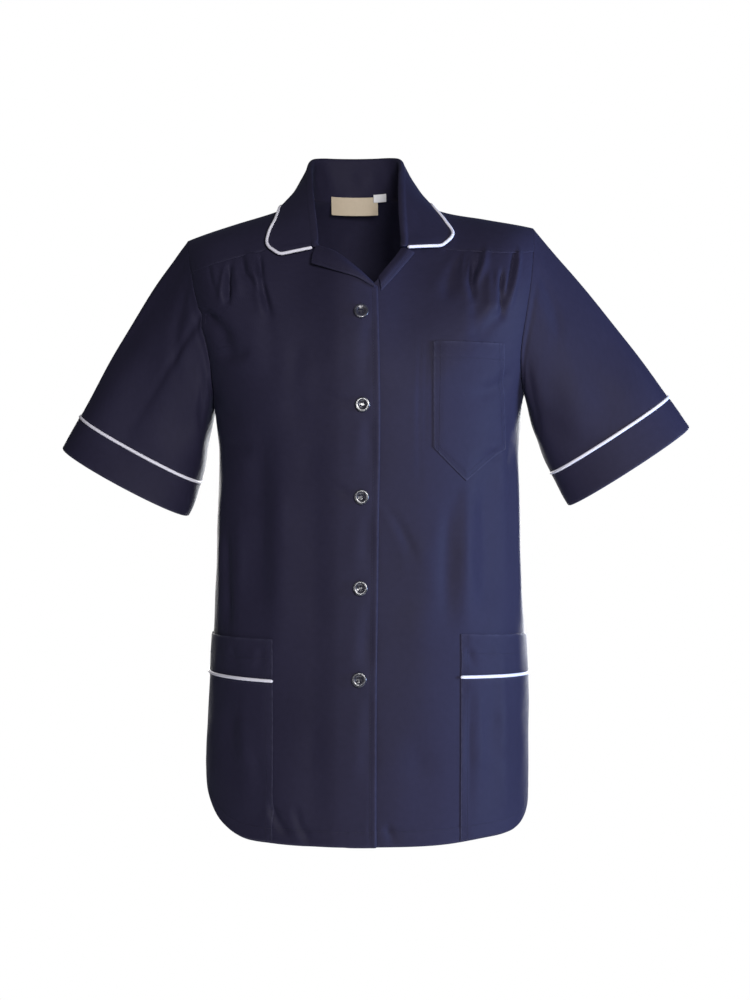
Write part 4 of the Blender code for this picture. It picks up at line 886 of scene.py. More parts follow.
def sleeve_lift(side, rounds, along):
    """The folds and creases of a sleeve, by place round it and share of the way down."""
    rounds, along = np.broadcast_arrays(rounds, along)
    lift = 0.5 * np.sin(rounds * 25 + 2 * np.sin(along * 5)) * ease(0, 0.25, along)
    lift = lift + 0.3 * np.sin(along * 17 + 3 * np.sin(rounds * 9 + side)) * ease(0, 0.2, along)
    head = np.abs((rounds + 0.5) % 1 - 0.5)
    ripple = np.sin(head * 150 + 2 * np.sin(head * 31)) * (1 - ease(0.02, 0.16, along))
    lift = lift + 0.28 * ripple * (1 - ease(0.15, 0.3, head)) * ease(0, 0.03, along)
    beyond = along * SLEEVE_LENGTH
    hollow = ease(0.1, 0.2, rounds) * (1 - ease(0.38, 0.46, rounds))
    lift = lift - HEAD_HOLLOW[side] * np.exp(-(((beyond - 5.0) / 4.5) ** 2)) * hollow
    for place, low, to_place, to_low, width, depth, bow in SLEEVE_FOLDS[side]:
        away = ((rounds - place + 0.5) % 1 - 0.5) * SLEEVE_GIRTH
        down = (along - low) * SLEEVE_LENGTH
        reach = (to_place - place) * SLEEVE_GIRTH, (to_low - low) * SLEEVE_LENGTH
        _, _, aside, ends = crease_line(away, down, *reach, bow, 0.15)
        lift = lift + depth * ends * crease_shape(aside, width)
    return lift


def collar_profile(way, side):
    """Neck seam, roll line and outer edge of the collar at one place round the neck."""
    if way < 0.5:
        neck = lie(BACK, *back_neck(side * way / 0.5))
    else:
        drop = NECK_END_DROP[side] * (2 * way - 1) ** 1.2
        neck = lie(FRONT, *neckline(side, drop), NECK_END_LIFT * ease(0.8, 1.0, way))
    roll_x, roll_y, roll_z, *edges = through(COLLAR, way)
    edge_x, edge_y = edges[:2] if side == RIGHT else edges[2:]
    roll = np.array([section(roll_z).centre + side * roll_x, roll_y, roll_z])
    facing = FRONT if edge_y < 0 else BACK
    across = section(0.0).centre + side * edge_x
    height = height_at_depth(facing, across, abs(edge_y))
    across = section(height).centre + side * edge_x
    height = height_at_depth(facing, across, abs(edge_y))
    return neck, roll, lie(facing, angle_at(across, height), height, EDGE_LIFT)


def collar_surface(stations):
    """The collar's middle surface: stand, fold at the roll line, and fall."""
    profiles = [collar_profile(abs(station), RIGHT if station < 0 else LEFT) for station in stations]
    profiles = np.array(profiles)
    profiles[1:-1] = (profiles[:-2] + 2 * profiles[1:-1] + profiles[2:]) / 4
    rows = []
    for station, (neck, roll, edge) in zip(stations, profiles):
        up = unit(roll - neck)
        out = edge - roll
        out = unit(out - out.dot(up) * up)
        neck = neck + up * SOFT_NECK_GAP
        middle = roll - up * SOFT_FOLD
        turns = np.linspace(0, math.pi, FOLD_STEPS + 1)[:, None]
        fold = middle + SOFT_FOLD * (np.sin(turns) * up - np.cos(turns) * out)
        edge = edge + (fold[-1] - edge) * 0.05 * ease(0.955, 1.0, abs(station))
        shares = np.linspace(0, 1, STAND_STEPS + 1)[:-1, None]
        stand = neck + (fold[0] - neck) * shares
        shares = np.linspace(0, 1, FALL_STEPS + 1)[1:, None]
        bulge = 4 * shares * (1 - shares) * (FALL_BULGE - 2.0 * ease(0.35, 0.6, abs(station)))
        fall = fold[-1] + (edge - fold[-1]) * shares + out * bulge
        rows.append(np.concatenate([stand, fold, fall]))
    return np.array(rows)


def grid_normals(points, closed=False):
    """Unit normals of a grid of points. A closed grid's last column meets its first."""
    if closed:
        along = np.roll(points, -1, axis=1) - np.roll(points, 1, axis=1)
    else:
        along = np.gradient(points, axis=1)
    return unit(np.cross(np.gradient(points, axis=0), along))


def facing_away(points, normals, middle):
    """Normals turned, all together, so that they point away from a middle."""
    return normals if ((points - middle) * normals).sum() > 0 else -normals


def runs(points):
    """Distances along the cloth from a grid's first row and from its first column."""
    up = np.linalg.norm(np.diff(points, axis=0), axis=-1)
    over = np.linalg.norm(np.diff(points, axis=1), axis=-1)
    up = np.vstack([np.zeros((1, points.shape[1])), np.cumsum(up, axis=0)])
    over = np.hstack([np.zeros((points.shape[0], 1)), np.cumsum(over, axis=1)])
    return up, over


def dip(distance, place, width=1.7, depth=0.3):
    """The dip that a row of stitches presses into cloth."""
    return -depth * np.exp(-(((distance - place) / width) ** 2))


def pucker(along, distance, reach=6.0, size=0.2, pitch=9.0):
    """Small ripples across a seam, dying away from it."""
    wave = np.sin(2 * math.pi * along / pitch + 1.9 * np.sin(along / 21.0))
    return size * wave * (0.65 + 0.35 * np.sin(along / 33.0 + 1)) * np.exp(-distance / reach)


def mesh_of(name, points, edges, faces):
    """A mesh from points in millimetres."""
    mesh = bpy.data.meshes.new(name)
    mesh.from_pydata((np.asarray(points) * MM).tolist(), edges, faces)
    return mesh


def linked(name, data):
    """An object put in the scene."""
    thing = bpy.data.objects.new(name, data)
    bpy.context.scene.collection.objects.link(thing)
    return thing


def dress(name, mesh, slot, node, look=None):
    """A piece of the dressed tunic, riding on its root and standing for its CAD node."""
    mesh.materials.append(look or LOOKS[slot])
    piece = linked(name, mesh)
    if node:
        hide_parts(node)
    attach(piece, "root")


def put(name, points, faces, weave, wear, slot, node=None, look=None):
    """A piece from its points and faces, with its place along the cloth and its wear."""
    mesh = mesh_of(name, points, [], [face.tolist() for face in faces])
    mesh.shade_smooth()
    layer = mesh.attributes.new("cloth_uv", "FLOAT_VECTOR", "POINT")
    layer.data.foreach_set("vector", weave.astype(np.float32).ravel())
    layer = mesh.attributes.new("wear", "FLOAT", "POINT")
    layer.data.foreach_set("value", wear.astype(np.float32))
    dress(name, mesh, slot, node, look)


def grid_cells(index):
    """The quads between neighbouring rows and columns of a grid of point numbers."""
    cells = np.stack([index[:-1, :-1], index[:-1, 1:], index[1:, 1:], index[1:, :-1]], axis=-1)
    return cells.reshape(-1, 4)


def turned_out(points, faces):
    """Quads wound so that the solid's faces look outwards."""
    a, b, c, d = (points[faces[:, corner]] for corner in range(4))
    volume = (np.cross(b - a, c - a) * a).sum() + (np.cross(c - a, d - a) * a).sum()
    return faces if volume > 0 else faces[:, ::-1]


def rim_loops(index, closed):
    """Edge loops of a grid in their faces' direction, each with the points just inside it."""
    if closed:
        return [(index[0, :-1], index[1, :-1]), (index[-1, -2::-1], index[-2, -2::-1])]
    rows, columns = index.shape
    row = np.concatenate([np.zeros(columns, int), np.arange(1, rows), np.full(columns - 1, rows - 1),
                          np.arange(rows - 2, 0, -1)])
    column = np.concatenate([np.arange(columns), np.full(rows - 1, columns - 1),
                             np.arange(columns - 2, -1, -1), np.zeros(rows - 2, int)])
    inside = index[np.clip(row, 1, rows - 2), np.clip(column, 1, columns - 2)]
    return [(index[row, column], inside)]


def shell(name, node, outer, inner, wear, closed=False, slot="cloth"):
    """A closed wall between two grids of points, its edges rounded like turned cloth."""
    rows, columns = outer.shape[:2]
    count = rows * columns
    index = np.arange(count).reshape(rows, columns)
    if closed:
        index = np.hstack([index, index[:, :1]])
    cells = grid_cells(index)
    flat_outer, flat_inner = outer.reshape(-1, 3), inner.reshape(-1, 3)
    up, over = runs((outer + inner) / 2)
    weave = np.stack([over.ravel(), up.ravel(), np.zeros(count)], axis=-1) * MM
    worn = np.broadcast_to(wear, (rows, columns)).ravel()
    points, weaves, wears = [flat_outer, flat_inner], [weave, weave], [worn, worn * 0.3]
    faces = [cells, cells[:, ::-1] + count]
    total = 2 * count
    for edge, inside in rim_loops(index, closed):
        middle = (flat_outer[edge] + flat_inner[edge]) / 2
        away = unit(flat_outer[edge] - flat_outer[inside])
        thick = np.linalg.norm(flat_outer[edge] - flat_inner[edge], axis=1, keepdims=True)
        points.append(middle + away * thick / 2)
        weaves.append(weave[edge])
        wears.append(worn[edge])
        rim = total + np.arange(len(edge))
        total += len(edge)
        after, rim_after = np.roll(edge, -1), np.roll(rim, -1)
        faces.append(np.stack([after, edge, rim, rim_after], axis=-1))
        faces.append(np.stack([rim_after, rim, edge + count, after + count], axis=-1))
    points, faces = np.concatenate(points), np.concatenate(faces)
    weave, wear = np.concatenate(weaves), np.concatenate(wears)
    put(name, points, turned_out(points, faces), weave, wear, slot, node)


def nearest_edge(points, edges):
    """Distances along the cloth from the nearest of a grid's named edges."""
    up, over = runs(points)
    away = {"low": up, "high": up[-1] - up, "first": over, "last": over[:, -1:] - over}
    return np.minimum.reduce([away[edge] for edge in edges])


def edge_wear(points, edges, reach=1.3):
    """Wear that is strongest at the named edges of a grid and dies away from them."""
    return np.exp(-nearest_edge(points, edges) / reach)


def line_in(points, normals, edge, distance, start=0.0, end=1.0):
    """A line at a distance in from one edge of a grid, with its normals, between two shares of it."""
    up, over = runs(points)
    if edge in ("low", "high"):
        points, normals, over = points.transpose(1, 0, 2), normals.transpose(1, 0, 2), up.T
    if edge in ("high", "last"):
        points, normals, over = points[:, ::-1], normals[:, ::-1], over[:, -1:] - over[:, ::-1]
    low, high = int(round(start * (len(points) - 1))), int(round(end * (len(points) - 1))) + 1
    both = [
        np.array([[np.interp(distance, far, part) for part in row.T] for far, row in zip(over, values)])
        for values in (points, normals)
    ]
    return both[0][low:high], unit(both[1][low:high])


def sew(name, lines, pitch=STITCH_PITCH, gap=STITCH_GAP, radius=THREAD_RADIUS):
    """Rows of stitches sunk into the cloth, joined into one piece."""
    sides, size = STITCH_SIDES, STITCH_SIDES * len(STITCH_RINGS)
    turn = np.linspace(0, 2 * math.pi, sides, endpoint=False)[:, None]
    shares, widths, heights = (np.array(row)[:, None, None] for row in zip(*STITCH_RINGS))
    wide, raised = widths * radius, heights * radius
    ring = np.arange(sides)
    after = (ring + 1) % sides
    points, faces, total = [], [], 0
    for path, normals in lines:
        places, ups = respaced(path, pitch, normals)
        middle = (places[1:] + places[:-1]) / 2
        ahead = places[1:] - places[:-1]
        length = np.linalg.norm(ahead, axis=1)[:, None, None, None] - gap
        ahead, ups = unit(ahead), unit(ups[1:] + ups[:-1])
        beside = np.cross(ahead, ups)
        rows = middle[:, None, None] + ahead[:, None, None] * shares * length
        rows = rows + beside[:, None, None] * wide * np.cos(turn)
        rows = rows + ups[:, None, None] * (raised + wide * np.sin(turn))
        base = total + np.arange(len(middle))[:, None] * size
        start = base[..., None] + np.arange(len(STITCH_RINGS) - 1)[:, None] * sides
        cells = [start + ring, start + after, start + sides + after, start + sides + ring]
        first = base + ring[::-1]
        faces += list(np.stack(cells, axis=-1).reshape(-1, 4))
        faces += list(first) + list(first[:, ::-1] + size - sides)
        points.append(rows.reshape(-1, 3))
        total += len(middle) * size
    weave = np.zeros((total, 3))
    weave[:, 1] = np.arange(total) * STITCH_WEAVE
    put(name, np.concatenate(points), faces, weave, np.zeros(total), "cloth", look=THREAD)


def tube(name, node, path, normals, closed=False):
    """A round cord along a path, its ends rounded off unless it closes on itself."""
    radius, sides = PIPING_RADIUS, CORD_SIDES
    tangent = np.roll(path, -1, axis=0) - np.roll(path, 1, axis=0) if closed else np.gradient(path, axis=0)
    tangent = unit(tangent)
    normals = unit(normals - (normals * tangent).sum(1, keepdims=True) * tangent)
    beside = np.cross(tangent, normals)
    reach = np.full(len(path), radius)
    if not closed:
        widths, outs = np.array(CORD_END).T
        lead = [path[0] - tangent[0] * radius * out for out in outs[::-1]]
        tail = [path[-1] + tangent[-1] * radius * out for out in outs]
        path = np.concatenate([lead, path, tail])
        reach = np.concatenate([radius * widths[::-1], reach, radius * widths])
        more = ((len(outs), len(outs)), (0, 0))
        normals, beside = np.pad(normals, more, "edge"), np.pad(beside, more, "edge")
    turn = np.linspace(0, 2 * math.pi, sides, endpoint=False)[:, None, None]
    rings = path + reach[:, None] * (np.cos(turn) * normals + np.sin(turn) * beside)
    points = rings.transpose(1, 0, 2).reshape(-1, 3)
    rows = len(path)
    index = np.arange(rows * sides).reshape(rows, sides)
    index = np.hstack([index, index[:, :1]])
    if closed:
        index = np.vstack([index, index[:1]])
    cells = turned_out(points, grid_cells(index))
    faces = list(cells)
    if not closed:
        low, high = index[0, :-1], index[-1, :-1]
        turned = (cells[0][:2] != [index[0, 0], index[0, 1]]).any()
        faces += [low if turned else low[::-1], high[::-1] if turned else high]
    length = np.concatenate([[0], np.cumsum(np.linalg.norm(np.diff(path, axis=0), axis=1))])
    weave = np.zeros((rows, sides, 3))
    weave[..., 0] = np.arange(sides) * 2 * math.pi * radius / sides * MM
    weave[..., 1] = length[:, None] * MM
    put(name, points, faces, weave.reshape(-1, 3), np.zeros(rows * sides), "piping", node)


def respaced(path, spacing, extra, closed=False):
    """A path's points spaced evenly, and values along it read at the same places."""
    if closed:
        path = np.vstack([path, path[:1]])
        extra = np.vstack([extra, extra[:1]])
    run = np.concatenate([[0], np.cumsum(np.linalg.norm(np.diff(path, axis=0), axis=1))])
    count = max(int(round(run[-1] / spacing)), 2)
    at = np.linspace(0, run[-1], count + 1)
    at = at[:-1] if closed else at
    return [np.stack([np.interp(at, run, part) for part in values.T], axis=1) for values in (path, extra)]


def rounded_corners(path, reach):
    """An open path with its corners smoothed over a number of points, its ends kept."""
    padded = np.concatenate([2 * path[:1] - path[reach:0:-1], path, 2 * path[-1:] - path[-2:-reach - 2:-1]])
    weights = [1 - abs(k - reach) / (reach + 1) for k in range(2 * reach + 1)]
    return sum(padded[k:k + len(path)] * weight for k, weight in enumerate(weights)) / sum(weights)


def hem_press(up, over):
    """What the hem does to the cloth: its dip of stitches, ripples, and the doubled cloth below."""
    extra = dip(up, HEM_STITCH) + pucker(over, np.abs(up - HEM_STITCH), *HEM_RIPPLES)
    return extra + 0.25 * (1 - ease(HEM_STITCH - 1, HEM_STITCH + 1.5, up))


def side_press(up, sides):
    """The dip and the ripples beside a side seam."""
    return dip(sides, 0.0, *SIDE_DIP) + pucker(up, sides, *SIDE_RIPPLES)


def hem_wall(up):
    """The cloth's wall, thicker at the hem."""
    return THIN + HEM_WALL * (1 - ease(HEM_STITCH, HEM_STITCH + 3, up))


def build_fronts():
    """The two fronts, the wearer's right lapping over the left with its edge turned under."""
    grids = {}
    for side, word in SIDES:
        angle, height, lift = front_surface(side, close_ends(FRONT_COLUMNS, 0.3), LOW_ROWS, FRONT_PART_ROWS)
        outer, normals = surface(FRONT, angle, height, lift)
        up, over = runs(outer)
        below_break = 1 - ease(BREAK_HEIGHT[side] - 6, BREAK_HEIGHT[side] + 8, height)
        edge = dip(over, EDGE_STITCH) + 0.2 * pucker(up, np.abs(over - EDGE_STITCH))
        extra = hem_press(up, over) + edge * below_break
        extra = extra + pucker(over, up[-1] - up, *FRONT_TOP_RIPPLES)
        extra = extra + side_press(up, over[:, -1:] - over)
        outer = outer + normals * extra[..., None]
        thick = hem_wall(up) + FACING_WALL * (1 - ease(*FACING_EDGE, over)) * below_break
        wear = edge_wear(outer, ("first", "low")) * FRONT_WEAR
        shell(f"front_{word}_cloth", f"front_{word}", outer, outer - normals * thick[..., None], wear)
        grids[side] = (outer, normals)
    return grids


def build_back():
    """The back, one plain panel, with its hem and its creases."""
    angle, height = back_surface(np.linspace(-1, 1, BACK_COLUMNS + 1), BACK_ROWS, LOW_ROWS)
    outer, normals = surface(BACK, angle, height)
    up, over = runs(outer)
    extra = hem_press(up, over) + side_press(up, np.minimum(over, over[:, -1:] - over))
    top = up[-1] - up
    extra = extra + pucker(over, top, *BACK_TOP_RIPPLES) * ease(0, 4, top)
    outer = outer + normals * extra[..., None]
    inner = outer - normals * hem_wall(up)[..., None]
    shell("back_cloth", "back", outer, inner, edge_wear(outer, ("low",)))
    return outer, normals


def build_yokes():
    """The two shoulder yokes, lying over the tops of the fronts."""
    grids = {}
    share = np.linspace(0, 1, YOKE_COLUMNS + 1)
    for side, word in SIDES:
        angle, height = yoke_surface(side, share, YOKE_ROWS)
        height = height - YOKE_LAP * np.linspace(1, 0, YOKE_ROWS + 1)[:, None] ** 6
        outer, normals = surface(FRONT, angle, height)
        up, over = runs(outer)
        bump = np.maximum(tuck_lift(side, share, 0.0), 0)
        extra = 0.3 * np.exp(-up / 7.0) + dip(up, YOKE_STITCH, *YOKE_DIP)
        extra = extra + 0.8 * bump * np.exp(-up / 5.0) + pucker(over, up, *YOKE_RIPPLES)
        outer = outer + normals * extra[..., None]
        wear = edge_wear(outer, ("low",)) * YOKE_WEAR
        shell(f"yoke_{word}_cloth", f"yoke_{word}", outer, outer - normals * THIN, wear)
        grids[side] = (outer, normals)
    return grids


def sleeve_surface(side, rounds, lines, along, extra=0.0):
    """A sleeve's outer face with its folds, at shares of the way down its lines, and its normals."""
    points = sleeve_points(lines, along)
    normals = grid_normals(points, closed=True)
    normals = facing_away(points, normals, points.mean(axis=1, keepdims=True))
    lift = sleeve_lift(side, rounds, along) * ease(0, 0.07, along) + extra
    return points + normals * lift[..., None], normals


def build_sleeves():
    """Each sleeve, its turned-up hem band and the piping between them."""
    grids = {}
    rounds = np.linspace(0, 1, ROUNDS, endpoint=False)
    for side, word in SIDES:
        lines = sleeve_lines(side, rounds)
        length, across = lines[4][:, 0], lines[5]
        band = 1 - CUFF / length
        gap = (SEAM + PIPING_RADIUS) / length * 0.9
        along = close_ends(SLEEVE_ROWS, 0.3)[:, None] * (band - gap)
        outer, normals = sleeve_surface(side, rounds, lines, along)
        toward = np.maximum((normals[0] * across).sum(1, keepdims=True), 0)
        normals[0] = unit(normals[0] - toward * across)
        under = np.abs(rounds - 0.5) * SLEEVE_GIRTH
        outer = outer + normals * (dip(under, 0.0, *UNDERARM_DIP) * ease(0, 0.04, along))[..., None]
        wear = edge_wear(outer, ("high",)) * SLEEVE_WEAR
        shell(f"sleeve_{word}_cloth", f"sleeve_{word}", outer, outer - normals * THIN, wear, closed=True)
        low = band + gap
        along = low + (1 - low) * close_ends(CUFF_ROWS, 0.6)[:, None]
        cuff, cuff_normals = sleeve_surface(side, rounds, lines, along, 0.3)
        inner = cuff - cuff_normals * CUFF_WALL
        shell(f"cuff_{word}_cloth", f"cuff_{word}", cuff, inner, edge_wear(cuff, ("high",)), closed=True)
        along = np.stack([band - 0.01, band, band + 0.01])
        rings, ring_normals = sleeve_surface(side, rounds, lines, along)
        path, around = respaced(rings[1], CUFF_CORD_PITCH, ring_normals[1], closed=True)
        tube(f"cuff_cord_{word}", f"cuff_piping_{word}", path, around, closed=True)
        grids[side] = (outer, normals, cuff, cuff_normals)
    return grids


def build_allowances():
    """The seam allowances inside each armhole and down each side."""
    rounds = np.linspace(0, 1, ROUNDS, endpoint=False)
    low = 1 - ease(0.04, 0.16, np.abs(rounds - 0.5))
    reach = (np.array(ARMHOLE_REACH)[:, None] + np.array(UNDERARM_REACH)[:, None] * low)[..., None]
    for side, word in SIDES:
        places, normals, across = armhole_ring(side, rounds)
        outer = places + across * reach - normals * (ALLOWANCE_DEPTH + 0.25 * np.abs(reach) / 7.0)
        inner = outer - normals * ALLOWANCE_WALL
        shell(f"armhole_allowance_{word}", None, outer, inner, 0.0, closed=True)
        bottom = float(hem_height(side, math.pi / 2)) + 4.0
        height = np.linspace(UNDERARM[side] - 1.0, bottom, SIDE_ROWS + 1)
        rows = []
        for facing, shift in SIDE_REACH:
            angle = side * (seam_angle(facing, height) - shift / SIDE_RADIUS)
            rows.append(lie(facing, angle, height, -ALLOWANCE_DEPTH))
        outer = np.stack(rows, axis=1)
        normals = facing_away(outer, grid_normals(outer), outer.mean(axis=(0, 1)) * np.array([0, 0, 1.0]))
        shell(f"side_allowance_{word}", None, outer, outer - normals * ALLOWANCE_WALL, 0.0)


def build_collar():
    """The collar and the piping round the edge of its fall."""
    stations = close_ends(COLLAR_COLUMNS, 0.55) * 2 - 1
    grid = collar_surface(stations)
    normals = grid_normals(grid)
    stand, fold, fall = np.zeros((3, FALL_START + FALL_STEPS))
    stand[:STAND_STEPS] = np.sin(np.linspace(0, math.pi, STAND_STEPS)) ** 2
    fold[STAND_STEPS:FALL_START] = FOLD_WEAR
    fall[FALL_START:] = ease(0, 0.3, np.linspace(0, 1, FALL_STEPS))
    turn = stations[:, None] * 180
    bumps = stand * (0.8 * np.sin(turn / 9.0 + 1.2) + 0.5 * np.sin(turn / 4.3 + 0.4))
    roll = fall * (0.45 * np.sin(turn / 15.0 + 0.6) + 0.25 * np.sin(turn / 6.5))
    edge = nearest_edge(grid, ("last",))
    grid = grid + normals * (bumps + roll + dip(edge, COLLAR_STITCH, *COLLAR_DIP) * fall)[..., None]
    normals = grid_normals(grid)
    outer, inner = grid + normals * COLLAR_HALF_WALL, grid - normals * COLLAR_HALF_WALL
    shell("collar_cloth", "collar", outer, inner, edge_wear(grid, ("last",)) * COLLAR_WEAR + fold)
    path, around = (
        np.concatenate([values[0, FALL_START:-1], values[:, -1], values[-1, FALL_START:-1][::-1]])
        for values in (grid, normals)
    )
    path, around = respaced(path, CORD_PITCH, around)
    path, around = rounded_corners(path, 4), unit(rounded_corners(around, 5))
    away = unit(np.cross(unit(np.gradient(path, axis=0)), around))
    if (away * (path - grid[:, STAND_STEPS].mean(axis=0))).sum() < 0:
        away = -away
    tube("collar_cord", "collar_piping", path + away * (PIPING_RADIUS + 0.2), around)
    return outer, normals


def build_lapels():
    """The turned-back tops of the fronts, each rolled over at its fold."""
    grids = {}
    curl = np.linspace(-math.pi / 2, math.pi / 2, CURL_STEPS + 1)[:-1]
    share = np.linspace(0, 1, LAPEL_COLUMNS + 1)
    for side, word in SIDES:
        rows = []
        for way in close_ends(LAPEL_ROWS, 0.5):
            roll, edge_x, edge_z, lift_roll, lift_edge = through(LAPELS[side], way)
            roll_x, roll_z = roll_line(side, roll)
            across = roll_x + (edge_x - roll_x) * share
            height = roll_z + (edge_z - roll_z) * share
            lift = lift_roll + (lift_edge - lift_roll) * share + LAPEL_BULGE * np.sin(math.pi * share)
            inward = np.array([roll_x - edge_x, roll_z - edge_z])
            inward = inward / np.hypot(*inward)
            half = lift_roll / 2
            turned = half * np.cos(curl)
            across = np.concatenate([roll_x + inward[0] * turned, across])
            height = np.concatenate([roll_z + inward[1] * turned, height])
            lift = np.concatenate([half + half * np.sin(curl), lift])
            rows.append(lie(FRONT, angle_at(across, height), height, lift))
        grid = np.array(rows)
        normals = facing_away(grid, grid_normals(grid), CHEST_MIDDLE)
        up, over = runs(grid)
        edge = over[:, -1:] - over
        grid = grid + normals * (dip(edge, LAPEL_STITCH, *LAPEL_DIP) + 0.12 * np.sin(up / 7.0))[..., None]
        outer, inner = grid + normals * LAPEL_HALF_WALL, grid - normals * LAPEL_HALF_WALL
        wear = edge_wear(grid, ("last",)) * LAPEL_WEAR
        shell(f"lapel_{word}_cloth", f"lapel_{word}", outer, inner, wear)
        grids[side] = (outer, normals)
    return grids


def patch(node, angle, height, edges, hem=None):
    """A patch lying on a front, its stitched edges pressed down and its middle a little full."""
    base = lie(FRONT, angle, height)
    up, over = runs(base)
    nearest = nearest_edge(base, edges)
    stitch = POCKET_STITCHES[0]
    lift = POCKET_GAP + POCKET_CLOTH - PATCH_PRESS * (1 - ease(0, PATCH_REACH, nearest))
    lift = lift + dip(nearest, stitch, *PATCH_DIP) + 0.12 * (1 - ease(0, stitch, nearest))
    lift = lift + pucker(up + over, nearest, *PATCH_RIPPLES)
    if hem:
        top = up[-1] - up
        lift = lift + 0.35 * (1 - ease(hem - 1.0, hem + 1.2, top)) + dip(top, hem, *PATCH_HEM_DIP)
    outer, normals = surface(FRONT, angle, height, lift)
    wear = edge_wear(outer, edges + ("high",))
    shell(f"{node}_cloth", node, outer, outer - normals * PATCH_WALL, wear)
    return outer, normals


def pocket_angle(side, share, height):
    """The angle at a share of the way from a hip pocket's inner edge to the side seam."""
    inner = angle_at(HIP_POCKETS[side].inner, height)
    return inner * (1 - share) + side * seam_angle(FRONT, height) * share


def build_pockets():
    """The chest pocket, and each hip pocket with its band and piping."""
    made = {}
    left, right = CHEST_POCKET_ACROSS
    point_x, point_z = CHEST_POCKET_POINT
    across = np.linspace(left, point_x, CHEST_LEFT_COLUMNS + 1)
    across = np.concatenate([across, np.linspace(point_x, right, CHEST_RIGHT_COLUMNS + 1)[1:]])
    away = np.abs(across - point_x) / np.where(across < point_x, point_x - left, right - point_x)
    bottom = point_z + (CHEST_POCKET_CORNER - point_z) * away
    height = bottom + (CHEST_POCKET_TOP - bottom) * close_ends(CHEST_ROWS, 0.4)[:, None]
    angle = angle_at(np.broadcast_to(across, height.shape), height)
    made["chest"] = patch("chest_pocket", angle, height, ("low", "first", "last"), CHEST_HEM)
    share = close_ends(HIP_COLUMNS, 0.4)
    reach = PIPING_RADIUS + 0.1
    for side, word in SIDES:
        size = HIP_POCKETS[side]
        top = size.top_inner + (size.top_side - size.top_inner) * share
        cord = size.piping_inner + (size.piping_side - size.piping_inner) * share
        hem = hem_height(side, pocket_angle(side, share, np.full(share.shape, POCKET_LOW))) + POCKET_HEM_GAP
        for part, node, low, high, steps in (
            ("bag", f"hip_pocket_{word}", hem, cord - reach, close_ends(BAG_ROWS, 0.4)),
            ("band", f"hip_pocket_band_{word}", cord + reach, top, close_ends(BAND_ROWS, 0.5)),
        ):
            height = low + (high - low) * steps[:, None]
            made[side, part] = patch(node, pocket_angle(side, share, height), height, ("first",))
        angle = pocket_angle(side, share, cord)
        path, around = surface(FRONT, angle, cord, POCKET_GAP + PIPING_RADIUS)
        path, around = respaced(path, CORD_PITCH, around)
        tube(f"hip_cord_{word}", f"hip_piping_{word}", path, around)
    return made


def button_mesh():
    """One glossy button with a raised rim, a dished middle and four holes."""
    outline = [(x * BUTTON_RADIUS, 0.0, z * BUTTON_THICK) for x, z in BUTTON_OUTLINE]
    edges = [(n, n + 1) for n in range(len(outline) - 1)]
    button = linked("button_profile", mesh_of("button_profile", outline, edges, []))
    turn = button.modifiers.new("turn", "SCREW")
    turn.steps = turn.render_steps = BUTTON_STEPS
    turn.use_merge_vertices = True
    turn.merge_threshold = MERGED_WITHIN
    count = HOLE_SIDES
    ring = np.linspace(0, 2 * math.pi, count, endpoint=False)
    faces = [(n, (n + 1) % count, count + (n + 1) % count, count + n) for n in range(count)]
    faces += [tuple(range(count - 1, -1, -1)), tuple(range(count, 2 * count))]
    cutters = []
    for hole in range(4):
        way = math.pi / 4 + hole * math.pi / 2
        circle = np.stack([np.cos(ring), np.sin(ring)], axis=1) * HOLE_RADIUS
        circle = circle + HOLE_SPACING * math.sqrt(2) * np.array([math.cos(way), math.sin(way)])
        points = np.concatenate([np.column_stack([circle, np.full(count, end)]) for end in HOLE_ENDS])
        cutter = linked(f"hole_{hole}", mesh_of(f"hole_{hole}", points, [], faces))
        cut = button.modifiers.new(f"hole_{hole}", "BOOLEAN")
        cut.operation = "DIFFERENCE"
        cut.object = cutter
        cutters.append(cutter)
    graph = bpy.context.evaluated_depsgraph_get()
    mesh = bpy.data.meshes.new_from_object(button.evaluated_get(graph))
    mesh.shade_smooth()
    mesh.set_sharp_from_angle(angle=SHARP_FROM)
    for thing in cutters + [button]:
        bpy.data.objects.remove(thing, do_unlink=True)
    mesh.materials.clear()
    return mesh


def build_buttons(mesh):
    """The five buttons, each set square to the cloth under it."""
    places = []
    for number, (height, turn) in enumerate(zip(BUTTON_HEIGHTS, BUTTON_TURNS), start=1):
        z = Vector(outward(FRONT, float(section(height).centre), height))
        x = Vector((1, 0, 0)) - z * z.x
        x.normalize()
        turned = Matrix((x, z.cross(x), z)).transposed() @ Matrix.Rotation(math.radians(turn), 3, "Z")
        foot = lie(FRONT, 0.0, height, LAP_LIFT + SEAM)
        name = f"button_{number}_turned"
        copy = mesh.copy()
        copy.name = name
        copy.transform(Matrix.Translation(Vector(foot * MM)) @ turned.to_4x4())
        dress(name, copy, "button", f"button_{number}")
        places.append((foot, np.array(turned)))
    return places


